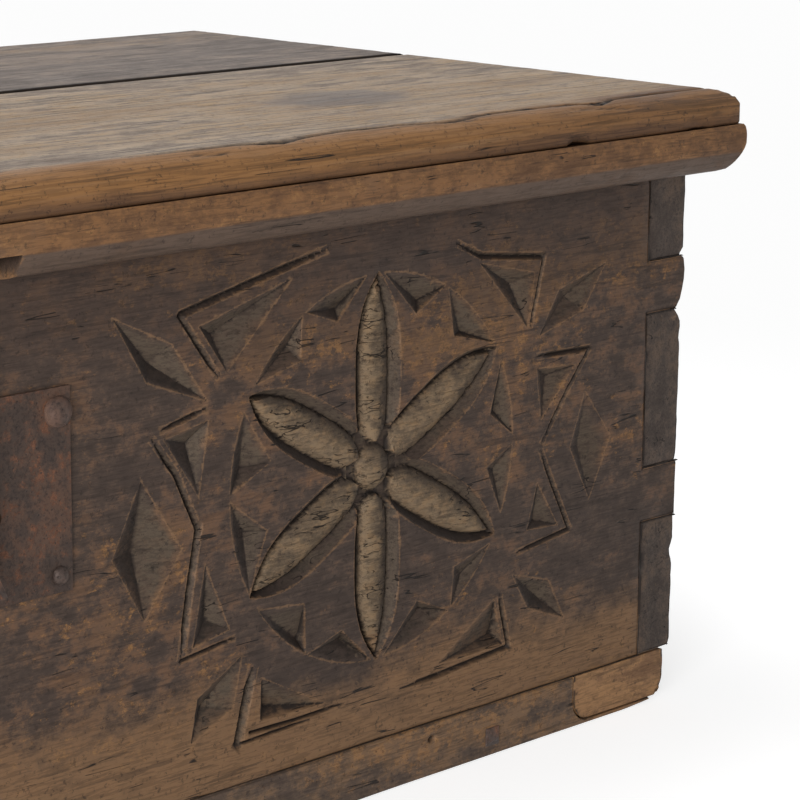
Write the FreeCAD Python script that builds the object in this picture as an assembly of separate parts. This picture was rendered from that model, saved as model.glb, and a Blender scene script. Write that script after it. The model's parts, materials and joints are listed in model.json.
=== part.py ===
"""Coffer chest of thick boards, dovetailed at the corners, with a moulded lid, strap hinges,
an iron lock and a hasp.

Sizes are in millimetres. X runs along the front to the right, Y from the front to the back and
Z up. The origin is on the floor, under the middle of the whole chest.
"""
import FreeCAD, Part
import math
import os

V = FreeCAD.Vector
ALONG_X = V(1, 0, 0)
ALONG_Y = V(0, 1, 0)
UP = V(0, 0, 1)
MIDDLE = V(0, 0, 0)

# ---- Carcass ---------------------------------------------------------------------------------
CARCASS_LENGTH = 1218.0        # over the two side boards
CARCASS_DEPTH = 495.0          # over the front and back boards
WALL_HEIGHT = 369.7            # from the bottom boards to the rim
FRONT_THICKNESS = 33.0
BACK_THICKNESS = 33.0
SIDE_THICKNESS = 34.0
ARRIS_RADIUS = 4.0             # worn upright arrises of the carcass

# Corner dovetails, from the bottom boards upwards, as they show on the front
LOW_TAIL_HEIGHT = 97.0
LOW_PIN_HEIGHT = 37.0
MIDDLE_TAIL_HEIGHT = 110.0
HIGH_PIN_HEIGHT = 35.0
DOVETAIL_ANGLE = 8.0           # degrees that a tail's cheek slopes

# ---- Carving ---------------------------------------------------------------------------------
# The front is carved alike on both sides of the lock. Places are shares of the rosette's radius,
# to the right and upwards from the rosette's middle, on the right half of the front.
ROSETTE_RADIUS = 125.0
ROSETTE_INSET = 291.5          # from the end of the carcass to the rosette's middle
ROSETTE_RISE = 179.25          # from the bottom boards to the rosette's middle
CUTTER_MARGIN = 1.2            # how far a cutter is drawn out of the face, 1 being flush
PETAL_COUNT = 6
PETAL_FIRST_ANGLE = 30.0
PETAL_DEPTH = 7.0              # floor of the trench round each petal
PETAL_TRENCH = (0.04, 1.0, 0.165)                      # start, tip and half width
PETAL_LOBE = (0.15, 0.96, 0.108)
PETAL_STEP_COUNT = 7
LOBE_LEVELS = ((1.0, 1.0), (0.8, 0.46), (0.5, 0.23))   # shares of the outline and the depth
BOSS_RADIUS = 15.0
BOSS_SIDES = 12
BOSS_LEVELS = ((1.0, 1.0), (0.83, 0.37), (0.5, 0.11))  # shares of its radius and the depth
BOSS_TRENCH = 0.26
RIM_CHIP_DEPTH = 6.0
RIM_CHIP_ARC = (0.8, 13.0, 26.5)     # degrees from the middle between two petals
RIM_CHIP_INNER = (11.0, 0.81)        # degrees and radius of the inner corner
RIM_CHIP_DEEP = (12.0, 0.88)         # degrees and radius of the deepest point
CHIPS = (                      # depth, deepest point and corners
    (0.060, (-1.06, 0.82), (-1.18, 0.88), (-1.01, 0.64), (-0.58, 1.04)),
    (0.064, (-1.44, 0.74), (-1.70, 0.99), (-1.50, 0.66), (-1.13, 0.52), (-1.34, 0.82)),
    (0.056, (-1.22, 0.32), (-1.12, 0.43), (-1.40, 0.37), (-1.19, 0.06)),
    (0.080, (-1.54, -0.14), (-1.54, 0.20), (-1.72, -0.14), (-1.53, -0.48), (-1.29, -0.17)),
    (0.056, (-1.11, -0.56), (-1.15, -0.27), (-1.23, -0.67), (-1.00, -0.63)),
    (0.056, (-1.14, -0.99), (-0.92, -0.77), (-1.20, -0.93), (-1.25, -1.15), (-0.97, -1.03)),
    (0.060, (-0.74, -1.09), (-0.79, -0.92), (-0.80, -1.14), (-0.36, -1.15)),
    (0.060, (0.90, -1.06), (0.87, -0.86), (0.44, -1.12), (0.94, -1.13)),
    (0.052, (1.23, -0.92), (1.01, -0.75), (1.13, -0.96), (1.43, -1.08), (1.30, -0.84)),
    (0.044, (1.20, -0.49), (1.19, -0.28), (1.11, -0.53), (1.36, -0.54)),
    (0.032, (1.54, -0.14), (1.56, 0.16), (1.45, -0.13), (1.61, -0.45), (1.78, -0.12)),
    (0.048, (1.28, 0.28), (1.17, 0.34), (1.21, 0.06), (1.48, 0.32)),
    (0.052, (1.42, 0.69), (1.71, 0.84), (1.33, 0.74), (1.18, 0.51), (1.53, 0.61)),
    (0.056, (1.00, 0.81), (0.72, 0.96), (1.09, 0.57), (1.14, 0.86)),
)

# ---- Bottom boards ---------------------------------------------------------------------------
BOTTOM_THICKNESS = 37.0
BOTTOM_END_INSET = 6.5         # how far the boards stop short of the side boards' faces
BOTTOM_FRONT_WIDTH = 288.0
BOTTOM_GAP = 1.5               # shrinkage gap between the two boards
BOTTOM_END_RADIUS = 18.0       # lower corners worn round
PATCH_LENGTH = 95.0            # repair let into the front edge at the right end
PATCH_DEPTH = 14.0
PATCH_RISE = 4.0               # wood left under the patch
PATCH_RADIUS = 14.0

# ---- Lid -------------------------------------------------------------------------------------
LID_THICKNESS = 25.0
LID_OVERHANG = 26.5            # past the carcass at the front and both ends
LID_REAR_OVERHANG = 27.0
LID_SEAT_GAP = 0.3             # air between the rim and the lid
LID_FRONT_WIDTH = 315.0
LID_GAP = 1.5                  # shrinkage gap between the two lid boards
LID_NOSE_RADIUS = 16.0
LID_CORNER_RADIUS = 8.0
LID_REAR_RADIUS = 3.0

# Moulding under the overhang: points of its face, out from the carcass and down from the lid
MOULDING_PROJECTION = 30.0
MOULDING_HEIGHT = 35.0
MOULDING_PLAY = 1.0            # between the moulding and the carcass
MOULDING_HEAD_WIDTH = 27.5
MOULDING_BELLY_DROP = 8.0      # where the face stands out furthest
MOULDING_SHOULDER = (29.4, 13.5)
MOULDING_CHAMFER_END = (23.5, 26.5)
MOULDING_TOE_BEND = (20.0, 30.2)
MOULDING_TOE = (14.5, 31.6)
NOTCH_WIDTH = 40.0             # lets the hasp hang through
NOTCH_CEILING_DROP = 17.0      # wood left above the notch

# Battens across the inside of the lid
BATTEN_INSET = 379.0           # from the carcass's end to the batten's middle
BATTEN_WIDTH = 60.0
BATTEN_THICKNESS = 20.0
BATTEN_END_CLEARANCE = 9.0
BATTEN_CHAMFER = 6.0

# ---- Hinges ----------------------------------------------------------------------------------
HINGE_INSET = 199.0            # from the carcass's end to the hinge's middle
IRON_THICKNESS = 3.0
STRAP_WIDTH = 34.0
STRAP_LENGTH = 330.0
LEAF_LENGTH = 160.0
BARREL_RADIUS = 6.0
PIN_RADIUS = 3.0
PIN_CLEARANCE = 0.05
PIN_HEAD_RADIUS = 4.6
PIN_HEAD_LENGTH = 2.0
KNUCKLE_GAP = 0.4
BARREL_DROP = 0.4              # air between the barrel and the lid
STRAP_HOUSING_PLAY = 0.5

# ---- Nails -----------------------------------------------------------------------------------
NAIL_SHANK = 5.0
NAIL_TIP = 1.6
NAIL_HEAD_SIDES = 6
HEAD_SHOULDER = 0.9            # of the head's radius, half way up it
HEAD_CROWN = 0.4               # of the head's radius, at its top
SMALL_HEAD = (5.5, 2.2)        # radius and height of a common nail's head
LARGE_HEAD = (9.0, 5.0)        # domed nails at the top of the lock plate
PLATE_SMALL_HEAD = (5.2, 3.0)
EDGE_HEAD = (9.0, 2.0)
BOTTOM_NAIL_LENGTH = 72.0
BOTTOM_NAIL_COUNT = 5          # along the front and back boards
SIDE_NAIL_COUNT = 2            # between them, under each side board
MOULDING_NAIL_LENGTH = 50.0
MOULDING_NAIL_COUNT = 6
SIDE_MOULDING_NAIL_COUNT = 4
MOULDING_NAIL_REACH = 12.0     # out from the carcass
BATTEN_NAIL_LENGTH = 40.0
BATTEN_NAIL_COUNT = 4
STRAP_NAIL_LENGTH = 21.0
STRAP_NAIL_FIRST = 46.0        # from the pin's axis
STRAP_NAIL_COUNT = 5
LEAF_NAIL_LENGTH = 27.0
LEAF_NAIL_FIRST = 50.0
LEAF_NAIL_COUNT = 3
HINGE_NAIL_INSET = 20.0        # from a strap's or leaf's point to its last nail
PLATE_NAIL_LENGTH = 28.0
EDGE_NAIL_LENGTH = 60.0
EDGE_NAIL_INSET = 183.0        # from the carcass's end
EDGE_NAIL_RISE = 14.0

# ---- Lock and hasp ---------------------------------------------------------------------------
PLATE_WIDTH = 144.0
PLATE_HEIGHT = 119.0
PLATE_THICKNESS = 2.0
PLATE_BASE_RISE = 151.0        # from the bottom boards to the plate's lower edge
PLATE_NAIL_INSET = 9.0
PLATE_UPPER_NAIL_DROP = 14.0
PLATE_LOWER_NAIL_RISE = 10.0
SLOT_WIDTH = 8.0
SLOT_HEIGHT = 28.0
KEYHOLE_OFFSET = 18.0
KEYHOLE_DROP = 8.5             # below the bolt
KEYHOLE_RADIUS = 4.5
KEYHOLE_SLIT_WIDTH = 4.4
KEYHOLE_SLIT_LENGTH = 12.0
CASE_END_MARGIN = 21.0         # of the plate past the lock's case, at each end
CASE_EDGE_MARGIN = 21.5        # above and below it
CASE_DEPTH = 32.0
CASE_WALL = 2.0
CASE_PLAY = 1.0
BOLT_LENGTH = 40.0
BOLT_HEIGHT = 9.0
BOLT_THICKNESS = 3.5
BOLT_REST = 6.0                # from the middle of the slot to the bolt's nose, drawn back
BOLT_STAND_OFF = 0.5           # between the plate and the bolt
TALON_WIDTH = 6.0
TALON_DEPTH = 3.0
GUIDE_POSITIONS = (10.5, 26.0)
GUIDE_WIDTH = 3.0
GUIDE_WALL = 1.5
GUIDE_PLAY = 0.3
SPRING_THICKNESS = 0.8
SPRING_WIDTH = 3.0
SPRING_RISE = 9.0
SPRING_START = 30.0
SPRING_FOOT = 44.0
KEY_PIN_RADIUS = 1.5
HASP_WIDTH = 16.0
HASP_TIP_WIDTH = 13.0
HASP_THICKNESS = 3.0
HASP_PIVOT_DROP = 25.0         # below the lid
HASP_EYE_RADIUS = 5.5
HASP_BAR_RADIUS = 2.9
HASP_BORE_CLEARANCE = 0.1
HASP_AIR = 0.5                 # between the plate and the closed hasp
HASP_TAIL = 34.0               # below the middle of the staple
HASP_LIP = 16.0
HASP_LIP_ANGLE = 35.0
HASP_LEG_PLAY = 0.6
HASP_LEG_DEPTH = 15.0          # into the lid board
HASP_LEG_WIDTH = 6.4           # square legs, as wide where they meet the bar
HASP_LEG_TIP = 3.0
STAPLE_WIDTH = 5.0
STAPLE_HEIGHT = 21.0
STAPLE_WALL = 1.9
STAPLE_EYE_HEIGHT = 11.0
STAPLE_TENON = 8.0
BOLT_EYE_PLAY = 0.3
HASP_REST_AIR = 0.6            # between the staple and the plate when the hasp hangs loose

# ---- Places worked out from the sizes --------------------------------------------------------
HALF_LENGTH = CARCASS_LENGTH / 2
OVERALL_DEPTH = MOULDING_PROJECTION + CARCASS_DEPTH + LID_REAR_OVERHANG
FRONT_Y = MOULDING_PROJECTION - OVERALL_DEPTH / 2
BACK_Y = FRONT_Y + CARCASS_DEPTH
LID_BACK_Y = BACK_Y + LID_REAR_OVERHANG
WALL_Z = BOTTOM_THICKNESS
RIM_Z = WALL_Z + WALL_HEIGHT
LID_Z = RIM_Z + LID_SEAT_GAP
LID_TOP_Z = LID_Z + LID_THICKNESS
LOW_PIN_Z = WALL_Z + LOW_TAIL_HEIGHT
MIDDLE_TAIL_Z = LOW_PIN_Z + LOW_PIN_HEIGHT
HIGH_PIN_Z = MIDDLE_TAIL_Z + MIDDLE_TAIL_HEIGHT
HIGH_TAIL_Z = HIGH_PIN_Z + HIGH_PIN_HEIGHT
PINS = ((LOW_PIN_Z, MIDDLE_TAIL_Z), (HIGH_PIN_Z, HIGH_TAIL_Z))
ROSETTE_MIDDLE = V(HALF_LENGTH - ROSETTE_INSET, FRONT_Y, WALL_Z + ROSETTE_RISE)
BATTEN_X = HALF_LENGTH - BATTEN_INSET
HINGE_X = HALF_LENGTH - HINGE_INSET
HINGE_Y = BACK_Y + BARREL_RADIUS
HINGE_Z = LID_Z - BARREL_DROP - BARREL_RADIUS
PLATE_Z = WALL_Z + PLATE_BASE_RISE
LOCK_Z = PLATE_Z + PLATE_HEIGHT / 2
PLATE_FACE_Y = FRONT_Y - PLATE_THICKNESS
CASE_WIDTH = PLATE_WIDTH - 2 * CASE_END_MARGIN
CASE_HEIGHT = PLATE_HEIGHT - 2 * CASE_EDGE_MARGIN
BOLT_Y = FRONT_Y + BOLT_STAND_OFF
KEYHOLE_Z = LOCK_Z - KEYHOLE_DROP
HASP_BACK_Y = PLATE_FACE_Y - HASP_AIR
HASP_PIVOT = V(0, HASP_BACK_Y - HASP_EYE_RADIUS, LID_Z - HASP_PIVOT_DROP)
STAPLE_TIP_Y = BOLT_Y + BOLT_THICKNESS + BOLT_EYE_PLAY + STAPLE_WALL


# ---- Shape helpers ---------------------------------------------------------------------------
def box(x0, x1, y0, y1, z0, z1):
    """A block between two corners."""
    return Part.makeBox(x1 - x0, y1 - y0, z1 - z0, V(x0, y0, z0))


def polygon(points):
    """A closed outline through the points."""
    return Part.makePolygon(list(points) + [points[0]])


def extruded(wire, direction):
    """The solid that a closed flat outline sweeps along a vector."""
    return Part.Face(wire).extrude(direction)


def cylinder(radius, start, end):
    """A round bar between two points."""
    return Part.makeCylinder(radius, start.distanceToPoint(end), start, end - start)


def mirrored(shape):
    """The same shape on the other side of the chest's middle."""
    return shape.mirror(MIDDLE, ALONG_X)


def tidy(shape):
    """One clean solid, without the seams that joining leaves."""
    return shape.removeSplitter().Solids[0]


def rounded(shape, radius, chosen):
    """The shape with a radius on the edges whose bounds the chosen function accepts."""
    return shape.makeFillet(radius, [edge for edge in shape.Edges if chosen(edge.BoundBox)])


def spread(first, last, count):
    """Evenly spaced values, both ends included."""
    return [first + (last - first) * step / (count - 1) for step in range(count)]


def around(angle, radius):
    """The two coordinates of a place at an angle in degrees and a distance from the middle."""
    return radius * math.cos(math.radians(angle)), radius * math.sin(math.radians(angle))


def enclosed(outlines):
    """The solid whose flat faces have these outlines."""
    return Part.makeSolid(Part.makeShell([Part.Face(polygon(outline)) for outline in outlines]))


def layered(rings):
    """A faceted solid through rings of corners, one after the other."""
    outlines = [rings[0], rings[-1]]
    for lower, upper in zip(rings, rings[1:]):
        for corner in range(len(lower)):
            outlines.append([lower[corner - 1], lower[corner], upper[corner], upper[corner - 1]])
    return enclosed(outlines)


def ring(sides, radius, height):
    """The corners of a flat polygon around the Z axis."""
    return [V(*around(360 * (side + 0.5) / sides, radius), height) for side in range(sides)]


def faceted(sides, levels):
    """A faceted solid around the Z axis through levels of radius and height."""
    return layered([ring(sides, radius, height) for radius, height in levels])


def nail(point, direction, length, head, sides=NAIL_HEAD_SIDES):
    """A wrought nail: faceted head standing on the point, square shank driven along direction."""
    radius, height = head
    dome = faceted(sides, [
        (radius, 0), (radius * HEAD_SHOULDER, -height / 2), (radius * HEAD_CROWN, -height),
    ])
    shank = faceted(4, [(NAIL_SHANK / math.sqrt(2), 0), (NAIL_TIP / math.sqrt(2), length)])
    whole = tidy(dome.fuse(shank))
    whole.Placement = FreeCAD.Placement(point, FreeCAD.Rotation(UP, direction))
    return whole


def drilled(shape, fasteners):
    """The shape with the holes that the fasteners fill."""
    return tidy(shape.cut(Part.makeCompound(fasteners)))


# ---- Carcass ---------------------------------------------------------------------------------
def carcass_envelope():
    """The outside of the carcass, with its upright arrises worn round."""
    block = box(-HALF_LENGTH, HALF_LENGTH, FRONT_Y, BACK_Y, WALL_Z, RIM_Z)
    return rounded(block, ARRIS_RADIUS, lambda b: b.ZLength > WALL_HEIGHT / 2)


def pins(face_y, inward, thickness, start_x, end_x):
    """The pins of the front or back board: narrow at the outer face, wider inside."""
    flare = thickness * math.tan(math.radians(DOVETAIL_ANGLE))
    inner_y = face_y + inward * thickness
    solids = []
    for low, high in PINS:
        outline = polygon([
            V(start_x, face_y, low), V(start_x, face_y, high),
            V(start_x, inner_y, high + flare), V(start_x, inner_y, low - flare),
        ])
        solids.append(extruded(outline, V(end_x - start_x, 0, 0)))
    return solids


def end_pins(side, face_y, inward, thickness):
    """The pins at one end, side being 1 on the right and -1 on the left."""
    inner = side * (HALF_LENGTH - SIDE_THICKNESS)
    return pins(face_y, inward, thickness, inner, side * HALF_LENGTH)


def long_board(face_y, inward, thickness):
    """A front or back board with pins at both ends."""
    inner_y = face_y + inward * thickness
    reach = HALF_LENGTH - SIDE_THICKNESS
    panel = box(-reach, reach, min(face_y, inner_y), max(face_y, inner_y), WALL_Z, RIM_Z)
    ends = end_pins(1, face_y, inward, thickness) + end_pins(-1, face_y, inward, thickness)
    return tidy(panel.fuse(ends).common(carcass_envelope()))


def lock_mortise():
    """The opening through the front board that takes the lock's case."""
    half_width = CASE_WIDTH / 2 + CASE_PLAY
    half_height = CASE_HEIGHT / 2 + CASE_PLAY
    return box(-half_width, half_width, FRONT_Y, FRONT_Y + FRONT_THICKNESS,
               LOCK_Z - half_height, LOCK_Z + half_height)


def strap_housing(side):
    """The shallow trench in the back board's rim under one hinge strap."""
    half = STRAP_WIDTH / 2 + STRAP_HOUSING_PLAY
    floor = LID_Z - IRON_THICKNESS - STRAP_HOUSING_PLAY
    return box(side * HINGE_X - half, side * HINGE_X + half,
               BACK_Y - BACK_THICKNESS, BACK_Y, floor, RIM_Z)


def front_board():
    """The front board, with its pins, its carving and the lock's mortise."""
    right = carving()
    left = [mirrored(cut) for cut in right]
    return long_board(FRONT_Y, 1, FRONT_THICKNESS).cut([lock_mortise()] + right + left)


def back_board():
    """The back board, with its pins and the housings of the straps."""
    return long_board(BACK_Y, -1, BACK_THICKNESS).cut([strap_housing(1), strap_housing(-1)])


def side_board(side):
    """A side board, whose tails grip the front and back boards' pins."""
    inner = side * (HALF_LENGTH - SIDE_THICKNESS)
    outer = side * HALF_LENGTH
    panel = box(min(inner, outer), max(inner, outer), FRONT_Y, BACK_Y, WALL_Z, RIM_Z)
    sockets = end_pins(side, FRONT_Y, 1, FRONT_THICKNESS) + end_pins(side, BACK_Y, -1, BACK_THICKNESS)
    return tidy(panel.common(carcass_envelope()).cut(sockets))


# ---- Carving of the front --------------------------------------------------------------------
def carved_place(right, up, depth):
    """A place in the carving: shares of the rosette's radius, and a depth behind the face."""
    return ROSETTE_MIDDLE + V(right * ROSETTE_RADIUS, depth, up * ROSETTE_RADIUS)


def chip(depth, deepest, corners):
    """What a knife lifts out: a pyramid from an outline on the face down to its deepest point."""
    point = carved_place(*deepest, depth)
    rim = [point + (carved_place(*corner, 0) - point) * CUTTER_MARGIN for corner in corners]
    sides = [[rim[index - 1], rim[index], point] for index in range(len(rim))]
    return enclosed([rim] + sides)


def rim_chip(angle, side):
    """A chip inside the rosette's circle, on one side of the middle between two petals."""
    arc = [around(angle + side * turn, 1) for turn in RIM_CHIP_ARC]
    places = (RIM_CHIP_INNER, RIM_CHIP_DEEP)
    inner, deepest = [around(angle + side * turn, radius) for turn, radius in places]
    return chip(RIM_CHIP_DEPTH, deepest, arc + [inner])


def petal_ring(angle, oval, share, depth):
    """The corners of a pointed oval on a petal's axis, drawn in to a share of its size."""
    start, end, half_width = oval
    middle = (start + end) / 2
    along = [(end - start) / 2 * step for step in spread(-1, 1, PETAL_STEP_COUNT)]
    across = [half_width * (1 - step ** 2) for step in spread(-1, 1, PETAL_STEP_COUNT)]
    half = list(zip(along, across))[:-1]
    corners = [(middle + x * share, y * share) for x, y in half + [(-x, -y) for x, y in half]]
    cosine, sine = around(angle, 1)
    return [carved_place(x * cosine - y * sine, x * sine + y * cosine, depth) for x, y in corners]


def boss_ring(share, depth):
    """The corners of the boss in the rosette's middle at one depth."""
    radius = share * BOSS_RADIUS / ROSETTE_RADIUS
    return [carved_place(*around(360 * side / BOSS_SIDES, radius), depth) for side in range(BOSS_SIDES)]


def rosette():
    """The wood between the rosette's face and its petals and boss, which stand in their trenches."""
    angles = [PETAL_FIRST_ANGLE + 360 * petal / PETAL_COUNT for petal in range(PETAL_COUNT)]
    proud = -PETAL_DEPTH * (CUTTER_MARGIN - 1)
    radius = BOSS_TRENCH * ROSETTE_RADIUS
    hollow = cylinder(radius, carved_place(0, 0, proud), carved_place(0, 0, PETAL_DEPTH))
    trenches = [layered([petal_ring(angle, PETAL_TRENCH, 1, depth) for depth in (proud, PETAL_DEPTH)])
                for angle in angles]
    heights = [(share, depth * PETAL_DEPTH) for share, depth in LOBE_LEVELS]
    lobes = [layered([petal_ring(angle, PETAL_LOBE, share, depth) for share, depth in heights])
             for angle in angles]
    boss = layered([boss_ring(share, depth * PETAL_DEPTH) for share, depth in BOSS_LEVELS])
    return hollow.fuse(trenches).cut(lobes + [boss])


def carving():
    """Everything that the carver cut away on the right half of the front."""
    between = [PETAL_FIRST_ANGLE + 360 * (petal + 0.5) / PETAL_COUNT for petal in range(PETAL_COUNT)]
    inner = [rim_chip(angle, side) for angle in between for side in (1, -1)]
    outer = [chip(depth * ROSETTE_RADIUS, deepest, corners) for depth, deepest, *corners in CHIPS]
    return [rosette()] + inner + outer


# ---- Bottom ----------------------------------------------------------------------------------
def bottom_board(y0, y1):
    """A bottom board, its lower ends worn round."""
    reach = HALF_LENGTH - BOTTOM_END_INSET
    block = box(-reach, reach, y0, y1, 0, BOTTOM_THICKNESS)
    return rounded(block, BOTTOM_END_RADIUS,
                   lambda b: b.ZMax < BOTTOM_THICKNESS / 2 and b.XLength < BOTTOM_THICKNESS / 2)


def patch_block():
    """The space of the repair in the front edge, its inner lower corner rounded."""
    reach = HALF_LENGTH - BOTTOM_END_INSET
    start = reach - PATCH_LENGTH
    block = box(start, reach, FRONT_Y, FRONT_Y + PATCH_DEPTH, PATCH_RISE, BOTTOM_THICKNESS)
    return rounded(block, PATCH_RADIUS,
                   lambda b: b.ZMax < BOTTOM_THICKNESS / 2 and b.XMax < start + PATCH_RADIUS / 2)


# ---- Lid -------------------------------------------------------------------------------------
def lid_envelope():
    """The outside of the whole lid: a round nose in front and at both ends, softened corners."""
    reach = HALF_LENGTH + LID_OVERHANG
    block = box(-reach, reach, FRONT_Y - LID_OVERHANG, LID_BACK_Y, LID_Z, LID_TOP_Z)
    middle_y = (FRONT_Y + BACK_Y) / 2
    lengthways = rounded(block, LID_NOSE_RADIUS, lambda b: b.ZMin > LID_Z and b.YMax < middle_y)
    lengthways = rounded(lengthways, LID_REAR_RADIUS, lambda b: b.ZMin > LID_Z and b.YMin > middle_y)
    crossways = rounded(block, LID_NOSE_RADIUS, lambda b: b.ZMin > LID_Z and b.YLength > middle_y)
    plan = rounded(block, LID_CORNER_RADIUS, lambda b: b.ZLength > LID_THICKNESS / 2)
    return lengthways.common(crossways).common(plan)


def lid_board(y0, y1):
    """The part of the lid between two places from front to back."""
    reach = HALF_LENGTH + LID_OVERHANG
    return tidy(lid_envelope().common(box(-reach, reach, y0, y1, LID_Z, LID_TOP_Z)))


def moulding_outline(place):
    """The moulding's section; place turns a reach and a drop into a point."""
    points = [place(*pair) for pair in (
        (MOULDING_HEAD_WIDTH, 0), (MOULDING_PROJECTION, MOULDING_BELLY_DROP), MOULDING_SHOULDER,
        MOULDING_CHAMFER_END, MOULDING_TOE_BEND, MOULDING_TOE,
        (MOULDING_PLAY, MOULDING_HEIGHT), (MOULDING_PLAY, 0),
    )]
    head, belly, shoulder, chamfer, bend, toe, root, back = points
    edges = [
        Part.Arc(head, belly, shoulder).toShape(),
        Part.LineSegment(shoulder, chamfer).toShape(),
        Part.Arc(chamfer, bend, toe).toShape(),
        Part.LineSegment(toe, root).toShape(),
        Part.LineSegment(root, back).toShape(),
        Part.LineSegment(back, head).toShape(),
    ]
    return Part.Wire(edges)


def mitre_prism(corners):
    """An upright prism that trims a moulding to its plan."""
    return extruded(polygon([V(x, y, LID_Z - MOULDING_HEIGHT) for x, y in corners]), UP * MOULDING_HEIGHT)


def notch_block():
    """The notch over the lock, from the moulding's underside up to its ceiling."""
    half = NOTCH_WIDTH / 2
    return box(-half, half, FRONT_Y - MOULDING_PROJECTION, FRONT_Y,
               LID_Z - MOULDING_HEIGHT, LID_Z - NOTCH_CEILING_DROP)


def front_moulding():
    """The moulding along the front, mitred at both ends and notched over the lock."""
    reach = HALF_LENGTH + MOULDING_PROJECTION
    outer_y = FRONT_Y - MOULDING_PROJECTION
    outline = moulding_outline(lambda out, drop: V(-reach, FRONT_Y - out, LID_Z - drop))
    bar = extruded(outline, ALONG_X * (2 * reach))
    plan = mitre_prism([
        (-reach, outer_y), (reach, outer_y), (HALF_LENGTH, FRONT_Y), (-HALF_LENGTH, FRONT_Y),
    ])
    return tidy(bar.common(plan).cut(notch_block()))


def side_moulding():
    """The moulding along the right end, mitred in front and square behind."""
    outer_y = FRONT_Y - MOULDING_PROJECTION
    outer_x = HALF_LENGTH + MOULDING_PROJECTION
    outline = moulding_outline(lambda out, drop: V(HALF_LENGTH + out, outer_y, LID_Z - drop))
    bar = extruded(outline, ALONG_Y * (BACK_Y - outer_y))
    plan = mitre_prism([
        (HALF_LENGTH, FRONT_Y), (outer_x, outer_y), (outer_x, BACK_Y), (HALF_LENGTH, BACK_Y),
    ])
    return tidy(bar.common(plan))


def batten(middle_x):
    """A batten under the lid, chamfered along its lower arrises."""
    y0 = FRONT_Y + FRONT_THICKNESS + BATTEN_END_CLEARANCE
    y1 = BACK_Y - BACK_THICKNESS - BATTEN_END_CLEARANCE
    low = LID_Z - BATTEN_THICKNESS
    half = BATTEN_WIDTH / 2
    outline = polygon([
        V(middle_x - half, y0, LID_Z), V(middle_x + half, y0, LID_Z),
        V(middle_x + half, y0, low + BATTEN_CHAMFER), V(middle_x + half - BATTEN_CHAMFER, y0, low),
        V(middle_x - half + BATTEN_CHAMFER, y0, low), V(middle_x - half, y0, low + BATTEN_CHAMFER),
    ])
    return extruded(outline, ALONG_Y * (y1 - y0))


# ---- Hinges ----------------------------------------------------------------------------------
def knuckle_span(middle_x, index):
    """The ends of one of the hinge's three knuckles along X."""
    width = (STRAP_WIDTH - 2 * KNUCKLE_GAP) / 3
    start = middle_x - STRAP_WIDTH / 2 + index * (width + KNUCKLE_GAP)
    return start, start + width


def knuckle(middle_x, index):
    """One knuckle, still without its bore."""
    start, end = knuckle_span(middle_x, index)
    return cylinder(BARREL_RADIUS, V(start, HINGE_Y, HINGE_Z), V(end, HINGE_Y, HINGE_Z))


def hinge_bore(middle_x):
    """The bore through all the knuckles of one hinge."""
    half = STRAP_WIDTH / 2
    return cylinder(PIN_RADIUS + PIN_CLEARANCE, V(middle_x - half, HINGE_Y, HINGE_Z),
                    V(middle_x + half, HINGE_Y, HINGE_Z))


def hinge_strap(middle_x):
    """The strap under the lid, whose middle knuckle turns on the pin."""
    half = STRAP_WIDTH / 2
    low = LID_Z - IRON_THICKNESS
    shoulder_y = HINGE_Y - BARREL_RADIUS - STRAP_HOUSING_PLAY
    end_y = HINGE_Y - STRAP_LENGTH
    plan = polygon([
        V(middle_x - half, shoulder_y, low), V(middle_x + half, shoulder_y, low),
        V(middle_x + half, end_y + half, low), V(middle_x, end_y, low),
        V(middle_x - half, end_y + half, low),
    ])
    start, end = knuckle_span(middle_x, 1)
    tongue = box(start, end, shoulder_y, HINGE_Y, low, LID_Z)
    whole = extruded(plan, UP * IRON_THICKNESS).fuse([tongue, knuckle(middle_x, 1)])
    return tidy(whole.cut(hinge_bore(middle_x)))


def hinge_leaf(middle_x):
    """The leaf on the back board, whose outer knuckles hold the pin."""
    half = STRAP_WIDTH / 2
    shoulder_z = HINGE_Z - BARREL_RADIUS - STRAP_HOUSING_PLAY
    end_z = HINGE_Z - LEAF_LENGTH
    face = polygon([
        V(middle_x - half, BACK_Y, shoulder_z), V(middle_x + half, BACK_Y, shoulder_z),
        V(middle_x + half, BACK_Y, end_z + half), V(middle_x, BACK_Y, end_z),
        V(middle_x - half, BACK_Y, end_z + half),
    ])
    pieces = []
    for index in (0, 2):
        start, end = knuckle_span(middle_x, index)
        pieces.append(box(start, end, BACK_Y, BACK_Y + IRON_THICKNESS, shoulder_z, HINGE_Z))
        pieces.append(knuckle(middle_x, index))
    whole = extruded(face, ALONG_Y * IRON_THICKNESS).fuse(pieces)
    return tidy(whole.cut(hinge_bore(middle_x)))


def hinge_pin(middle_x):
    """The hinge pin, with a hammered head at each end."""
    half = STRAP_WIDTH / 2
    ends = [V(middle_x + side * half, HINGE_Y, HINGE_Z) for side in (-1, 1)]
    heads = [cylinder(PIN_HEAD_RADIUS, end, end + ALONG_X * (side * PIN_HEAD_LENGTH))
             for side, end in zip((-1, 1), ends)]
    return tidy(cylinder(PIN_RADIUS, *ends).fuse(heads))


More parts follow.
